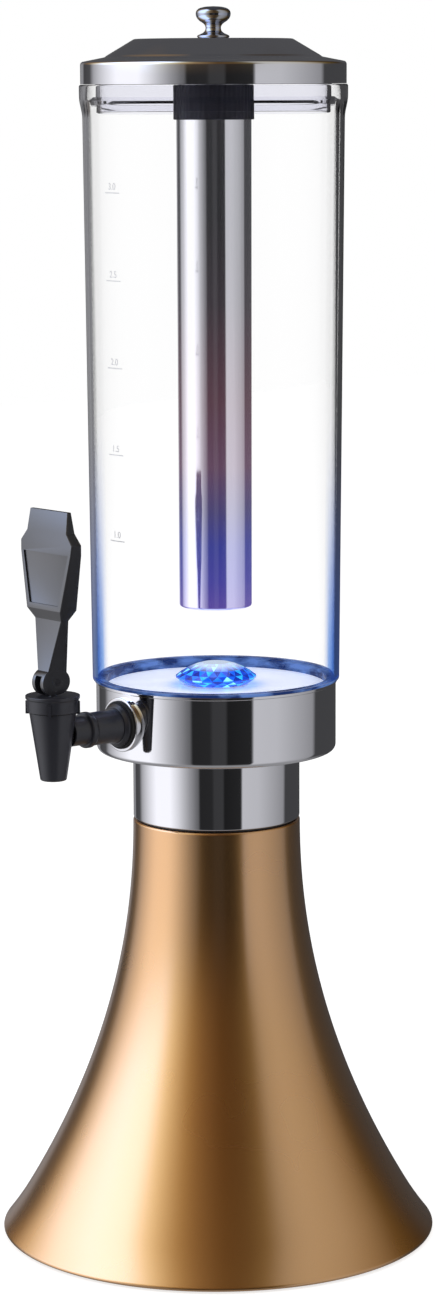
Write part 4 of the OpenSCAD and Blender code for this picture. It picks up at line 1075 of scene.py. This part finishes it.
class TOWER_OT_lever(TowerMaker, bpy.types.Operator):
    """Paddle lever with sunk panels, a bevelled neck and round cam cheeks"""
    bl_idname = "tower.lever"
    bl_label = "Lever"

    # Drop from the top, half width, half thickness, half width of the flat front and depth of the corner
    # beside it, in millimetres; the last one is measured up from the pin instead
    STATIONS = ((0, 15.35, 1.15, 14.9, 0.4), (10.5, 16.25, 2.7, 15.7, 0.5), (16, 21.0, 3.1, 20.4, 0.5),
                (21, 20.5, 3.5, 19.9, 0.5), (49.2, 14.0, 5.2, 13.4, 0.5), (54.5, 11.0, 2.4, 10.4, 0.5),
                (4.5, 4.25, 6.0, 3.85, 0.4))
    PANEL = (3, 4)   # stations between which a panel is sunk

    def execute(self, context):
        top = high("lever").z
        heights = [top - station[0] * MM for station in self.STATIONS[:-1]]
        heights.append(PIN_Z + self.STATIONS[-1][0] * MM)
        paddle = bmesh.new()
        rings = []
        for z, (_, w, t, flat, corner) in zip(heights, self.STATIONS):
            around = [(-w, corner - t), (-flat, -t), (flat, -t), (w, corner - t),
                      (w, t - corner), (flat, t), (-flat, t), (-w, t - corner)]
            rings.append([paddle.verts.new((x * MM, TAP_Y + y * MM, z)) for x, y in around])
        for a, b in zip(rings, rings[1:]):
            for k in range(8):
                paddle.faces.new((a[k], a[(k + 1) % 8], b[(k + 1) % 8], b[k]))
        paddle.faces.new(rings[0])
        paddle.faces.new(rings[-1])
        slot_w, slot_top, far = mm(2.3, 3.6, 20)
        slot = box_mesh((-slot_w, TAP_Y - far, PIN_Z - far), (slot_w, TAP_Y + far, PIN_Z + slot_top))
        hole_r, reach = mm(1.6, 12)
        hole = placed(lathe([(0, -reach), (hole_r, -reach), (hole_r, reach), (0, reach)], 48),
                      Matrix.Translation((0, TAP_Y, PIN_Z)) @ Matrix.Rotation(radians(90), 4, "Y"))
        cutters = (self.panel(heights, -1), self.panel(heights, 1), slot, hole)
        tools = [("UNION", self.hub())] + [("DIFFERENCE", cutter) for cutter in cutters]
        steps = [("BOOLEAN", {"operation": way, "solver": "EXACT", "object": tool}) for way, tool in tools]
        steps.append(("BEVEL", {"width": 0.45 * MM, "segments": 3, "limit_method": "ANGLE",
                                "angle_limit": radians(28), "use_clamp_overlap": True}))
        mesh = with_modifiers(paddle, "lever_paddle", steps)
        soften(mesh, 32)
        shown("lever_paddle", mesh)
        return {"FINISHED"}

    def hub(self):
        """Cam cheeks round the pin, as the hull of two circles."""
        hub = bmesh.new()
        for r, y in (mm(6.6, -2.8), mm(6.0, 1.6)):
            for k in range(72):
                turn = radians(5 * k)
                for x in mm(-4.5, 4.5):
                    hub.verts.new((x, TAP_Y + y + r * cos(turn), PIN_Z + r * sin(turn)))
        spare = bmesh.ops.convex_hull(hub, input=hub.verts)["geom_interior"]
        bmesh.ops.delete(hub, geom=[e for e in spare if isinstance(e, bmesh.types.BMVert)], context="VERTS")
        bmesh.ops.dissolve_limit(hub, angle_limit=radians(1), verts=hub.verts, edges=hub.edges)
        return hub

    def panel(self, heights, sign):
        """Cutter for the sunk panel on one face."""
        upper, lower = self.PANEL
        depth, out, margin = 0.9, 6, 2.5   # millimetres, as the stations
        bm = bmesh.new()
        near, far = [], []
        for place, z, less in ((upper, heights[upper], 0), (lower, heights[lower] + 2.6 * MM, 0.23)):
            _, w, t = self.STATIONS[place][:3]
            for x in mm(margin - w, w - margin):
                for verts, y in ((near, t - less - depth), (far, t - less - depth + out)):
                    verts.append(bm.verts.new((x, TAP_Y + sign * y * MM, z)))
        order = (0, 1, 3, 2)
        bm.faces.new([near[i] for i in order])
        bm.faces.new([far[i] for i in order])
        for a, b in zip(order, order[1:] + order[:1]):
            bm.faces.new((near[a], near[b], far[b], far[a]))
        return bm


class TOWER_OT_finishes(TowerMaker, bpy.types.Operator):
    """Finishes of the pieces that keep their construction shape"""
    bl_idname = "tower.finishes"
    bl_label = "Inner pieces"

    KEPT = {
        "black_plastic": "base_floor socket_ring neck_spigot lens_nut led_housing switch_block battery_cover",
        "steel": "ballast_plate housing_screws shank shank_nut stem valve_spring insert_screws knob_screw",
        "nickel": "battery_springs button_spring cover_contact", "lit_white": "floor_basin reflector",
        "silicone": "lens_gasket inner_washer seat_cup ice_gasket", "black_rubber": "basin_oring",
        "board_green": "led_board", "clear_light": "leds", "sleeve_green": "batteries",
        "button_red": "light_button", "black_steel": "pivot_pin",
    }

    def execute(self, context):
        for finish, names in self.KEPT.items():
            for piece in (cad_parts[name] for name in names.split()):
                for held in piece.material_slots:
                    held.link, held.material = "OBJECT", FINISHES[finish]
                if not piece.material_slots:
                    piece.data.materials.append(FINISHES[finish])
        return {"FINISHED"}


class TOWER_OT_stage(TowerMaker, bpy.types.Operator):
    """Pale floor, soft studio light and the camera"""
    bl_idname = "tower.stage"
    bl_label = "Stage"

    # Room as metal sees it at eye level and above, by bearing in degrees from the camera
    ROOM = (
        (-180, 0.07), (-172, 0.1), (-163, 0.26), (-155, 0.24), (-150, 0.05), (-134, 0.07), (-126, 0.36),
        (-110, 0.66), (-92, 0.98), (-68, 0.98), (-56, 0.72), (-47, 0.5), (-38, 0.31), (-28, 0.15),
        (-25, 0.12), (-23, 0.018), (-6, 0.02), (-3, 0.038), (9, 0.04), (11, 0.012), (34.5, 0.018),
        (36.5, 0.5), (60, 0.48), (80, 0.38), (106, 0.26), (111, 0.05), (170, 0.05), (180, 0.07))
    ROOM_ABOVE = (
        (-180, (0.07, 0.07, 0.075)), (-160, (0.07, 0.07, 0.075)), (-140, (0.24, 0.15, 0.07)),
        (-126, (0.72, 0.66, 0.52)), (-108, (1.3, 1.48, 1.9)), (-86, (1.45, 1.75, 2.6)),
        (-62, (1.45, 1.74, 2.3)), (-50, (0.98, 1.0, 0.84)), (-41, (0.66, 0.61, 0.45)),
        (-28, (0.34, 0.25, 0.13)), (-17, (0.205, 0.135, 0.07)), (4, (0.085, 0.048, 0.02)),
        (20, (0.085, 0.052, 0.025)), (34, (0.13, 0.1, 0.05)), (46, (0.42, 0.41, 0.38)),
        (62, (0.48, 0.47, 0.44)), (85, (0.41, 0.39, 0.35)), (100, (0.3, 0.26, 0.2)),
        (119, (0.105, 0.068, 0.022)), (140, (0.035, 0.02, 0.008)), (160, (0.07, 0.07, 0.075)),
        (180, (0.07, 0.07, 0.075)))
    COOL = (0.985, 0.985, 1.04)      # tint of the room at eye level
    CEILING = (0.055, 0.055, 0.06)
    GROUND = (0.25, 0.25, 0.26)
    WHITE = (1, 1, 1)
    ROOM_LIGHT = 0.62                # strength of the even light that falls on the piece
    ROOM_SHINE = 1.15                # strength of the room in reflections

    # Lamp: bearing from the camera and lift in degrees, distance and size in metres, power in watts
    LAMPS = (("key", -55, 38, 2.6, 2.2, 22), ("fill", 62, 24, 2.6, 2.2, 10), ("top", 150, 74, 2.4, 2.0, 8))

    def execute(self, context):
        scene, stage = context.scene, context.scene.tower_stage
        scene.camera = self.camera(stage)
        scene.world = self.world(stage.azimuth)
        self.floor()
        self.lamps(stage.azimuth)
        scene.view_settings.view_transform = "Standard"
        return {"FINISHED"}

    def camera(self, stage):
        """Camera at the photograph's viewing angle."""
        data = bpy.data.cameras.new("camera")
        data.sensor_fit, data.sensor_height, data.lens = "VERTICAL", 36, stage.lens
        data.clip_start, data.clip_end = 0.05, 40
        piece = add_object("camera", data)
        turn = stage.azimuth
        place = Vector((sin(turn) * stage.distance, -cos(turn) * stage.distance, stage.height))
        facing = Matrix.Rotation(turn - stage.pan, 4, "Z") @ Matrix.Rotation(pi / 2 - stage.tilt, 4, "X")
        piece.matrix_world = Matrix.Translation(place) @ facing @ Matrix.Rotation(stage.roll, 4, "Z")
        return piece

    def world(self, azimuth):
        """White room; polished metal sees its soft boxes and dark flags round the horizon."""
        world = bpy.data.worlds.new("studio")
        world.use_nodes = True
        tree = world.node_tree
        tree.nodes.clear()
        way = output(tree, "ShaderNodeTexCoord", name="Generated")
        to_right, to_camera = (cos(azimuth), sin(azimuth), 0), (sin(azimuth), -cos(azimuth), 0)
        right, front = (
            output(tree, "ShaderNodeVectorMath", {0: way, 1: axis}, "Value", operation="DOT_PRODUCT")
            for axis in (to_right, to_camera))
        bearing = right.math("ARCTAN2", front).spread(0.0, 1.0, -pi, pi)
        eye_level = [(turn, tuple(level * part for part in self.COOL)) for turn, level in self.ROOM]
        level_room, upper_room = (ramp(bearing, [(turn / 360 + 0.5, shade) for turn, shade in ring])
                                  for ring in (eye_level, self.ROOM_ABOVE))
        rise = way.parts()[2]
        walls = rise.spread(0.0, 1.0, 0.03, 0.24).blend(level_room, upper_room)
        under_ceiling = rise.spread(0.0, 1.0, sin(radians(66)), sin(radians(76))).blend(walls, self.CEILING)
        room = rise.spread(1.0, 0.0, -0.7, -0.4).blend(under_ceiling, self.GROUND)
        light, backdrop, reflections = (
            output(tree, "ShaderNodeBackground", {"Color": shade, "Strength": strength})
            for shade, strength in (
                (self.WHITE, self.ROOM_LIGHT), (self.WHITE, 1.0), (room, self.ROOM_SHINE)))
        seen, shiny = ray_kinds(tree)
        look = mixed(shiny, mixed(seen, light, backdrop), reflections)
        node(tree, "ShaderNodeOutputWorld", {"Surface": look})
        return world

    def floor(self):
        """Pale floor that shows white and keeps the shadow."""
        bm = bmesh.new()
        bmesh.ops.create_grid(bm, x_segments=1, y_segments=1, size=4)
        mesh = to_mesh(bm, "floor")
        tree, shader = new_finish("floor_white", Base_Color=(0.5, 0.5, 0.5), Roughness=0.9,
                                  Specular_IOR_Level=0.0, Emission_Color=self.WHITE)
        seen, shiny = ray_kinds(tree)
        fill(shader, {"Emission Strength": seen * 0.7})
        look = mixed(shiny, shader.outputs[0], output(tree, "ShaderNodeBsdfTransparent"))
        fill(tree.nodes["Material Output"], {"Surface": look})
        mesh.materials.append(FINISHES["floor_white"])
        piece = add_object("floor", mesh)
        piece.location.z = -0.4 * MM

    def lamps(self, azimuth):
        """Soft boxes either side of the camera and one overhead."""
        for name, turn, lift, reach, size, power in self.LAMPS:
            data = bpy.data.lights.new(name, "AREA")
            data.shape, data.size, data.energy = "DISK", size, power
            piece = add_object(name, data)
            bearing, level = azimuth + radians(turn), radians(lift)
            away = Vector((sin(bearing) * cos(level), -cos(bearing) * cos(level), sin(level)))
            piece.location = Vector((0, 0, 0.3)) + away * reach
            piece.rotation_euler = (-away).to_track_quat("-Z", "Y").to_euler()
            piece.visible_glossy = piece.visible_transmission = piece.visible_camera = False


MAKERS = (TOWER_OT_base, TOWER_OT_feet, TOWER_OT_column, TOWER_OT_reservoir, TOWER_OT_marks, TOWER_OT_gem,
          TOWER_OT_lid, TOWER_OT_ice_tube, TOWER_OT_tap, TOWER_OT_lever, TOWER_OT_finishes, TOWER_OT_stage)


class TOWER_PT_panel(bpy.types.Panel):
    """Makers of the drink tower"""
    bl_idname = "TOWER_PT_panel"
    bl_label = "Drink Tower"
    bl_space_type = "VIEW_3D"
    bl_region_type = "UI"
    bl_category = "Drink Tower"

    def draw(self, context):
        column = self.layout.column(align=True)
        for maker in MAKERS:
            column.operator(maker.bl_idname)


CLASSES = (TowerSizes, TowerColours, TowerStage, *MAKERS, TOWER_PT_panel)


def register():
    """Registers the classes and their settings."""
    for one in CLASSES:
        bpy.utils.register_class(one)
    bpy.types.Scene.tower_sizes = bpy.props.PointerProperty(type=TowerSizes)
    bpy.types.Scene.tower_colours = bpy.props.PointerProperty(type=TowerColours)
    bpy.types.Scene.tower_stage = bpy.props.PointerProperty(type=TowerStage)


def unregister():
    """Removes the settings and the classes."""
    del bpy.types.Scene.tower_sizes, bpy.types.Scene.tower_colours, bpy.types.Scene.tower_stage
    for one in reversed(CLASSES):
        bpy.utils.unregister_class(one)


def main():
    """Makes every piece and the stage."""
    register()
    make_finishes()
    for maker in MAKERS:
        group, name = maker.bl_idname.split(".")
        getattr(getattr(bpy.ops, group), name)()


if __name__ == "__main__":
    main()
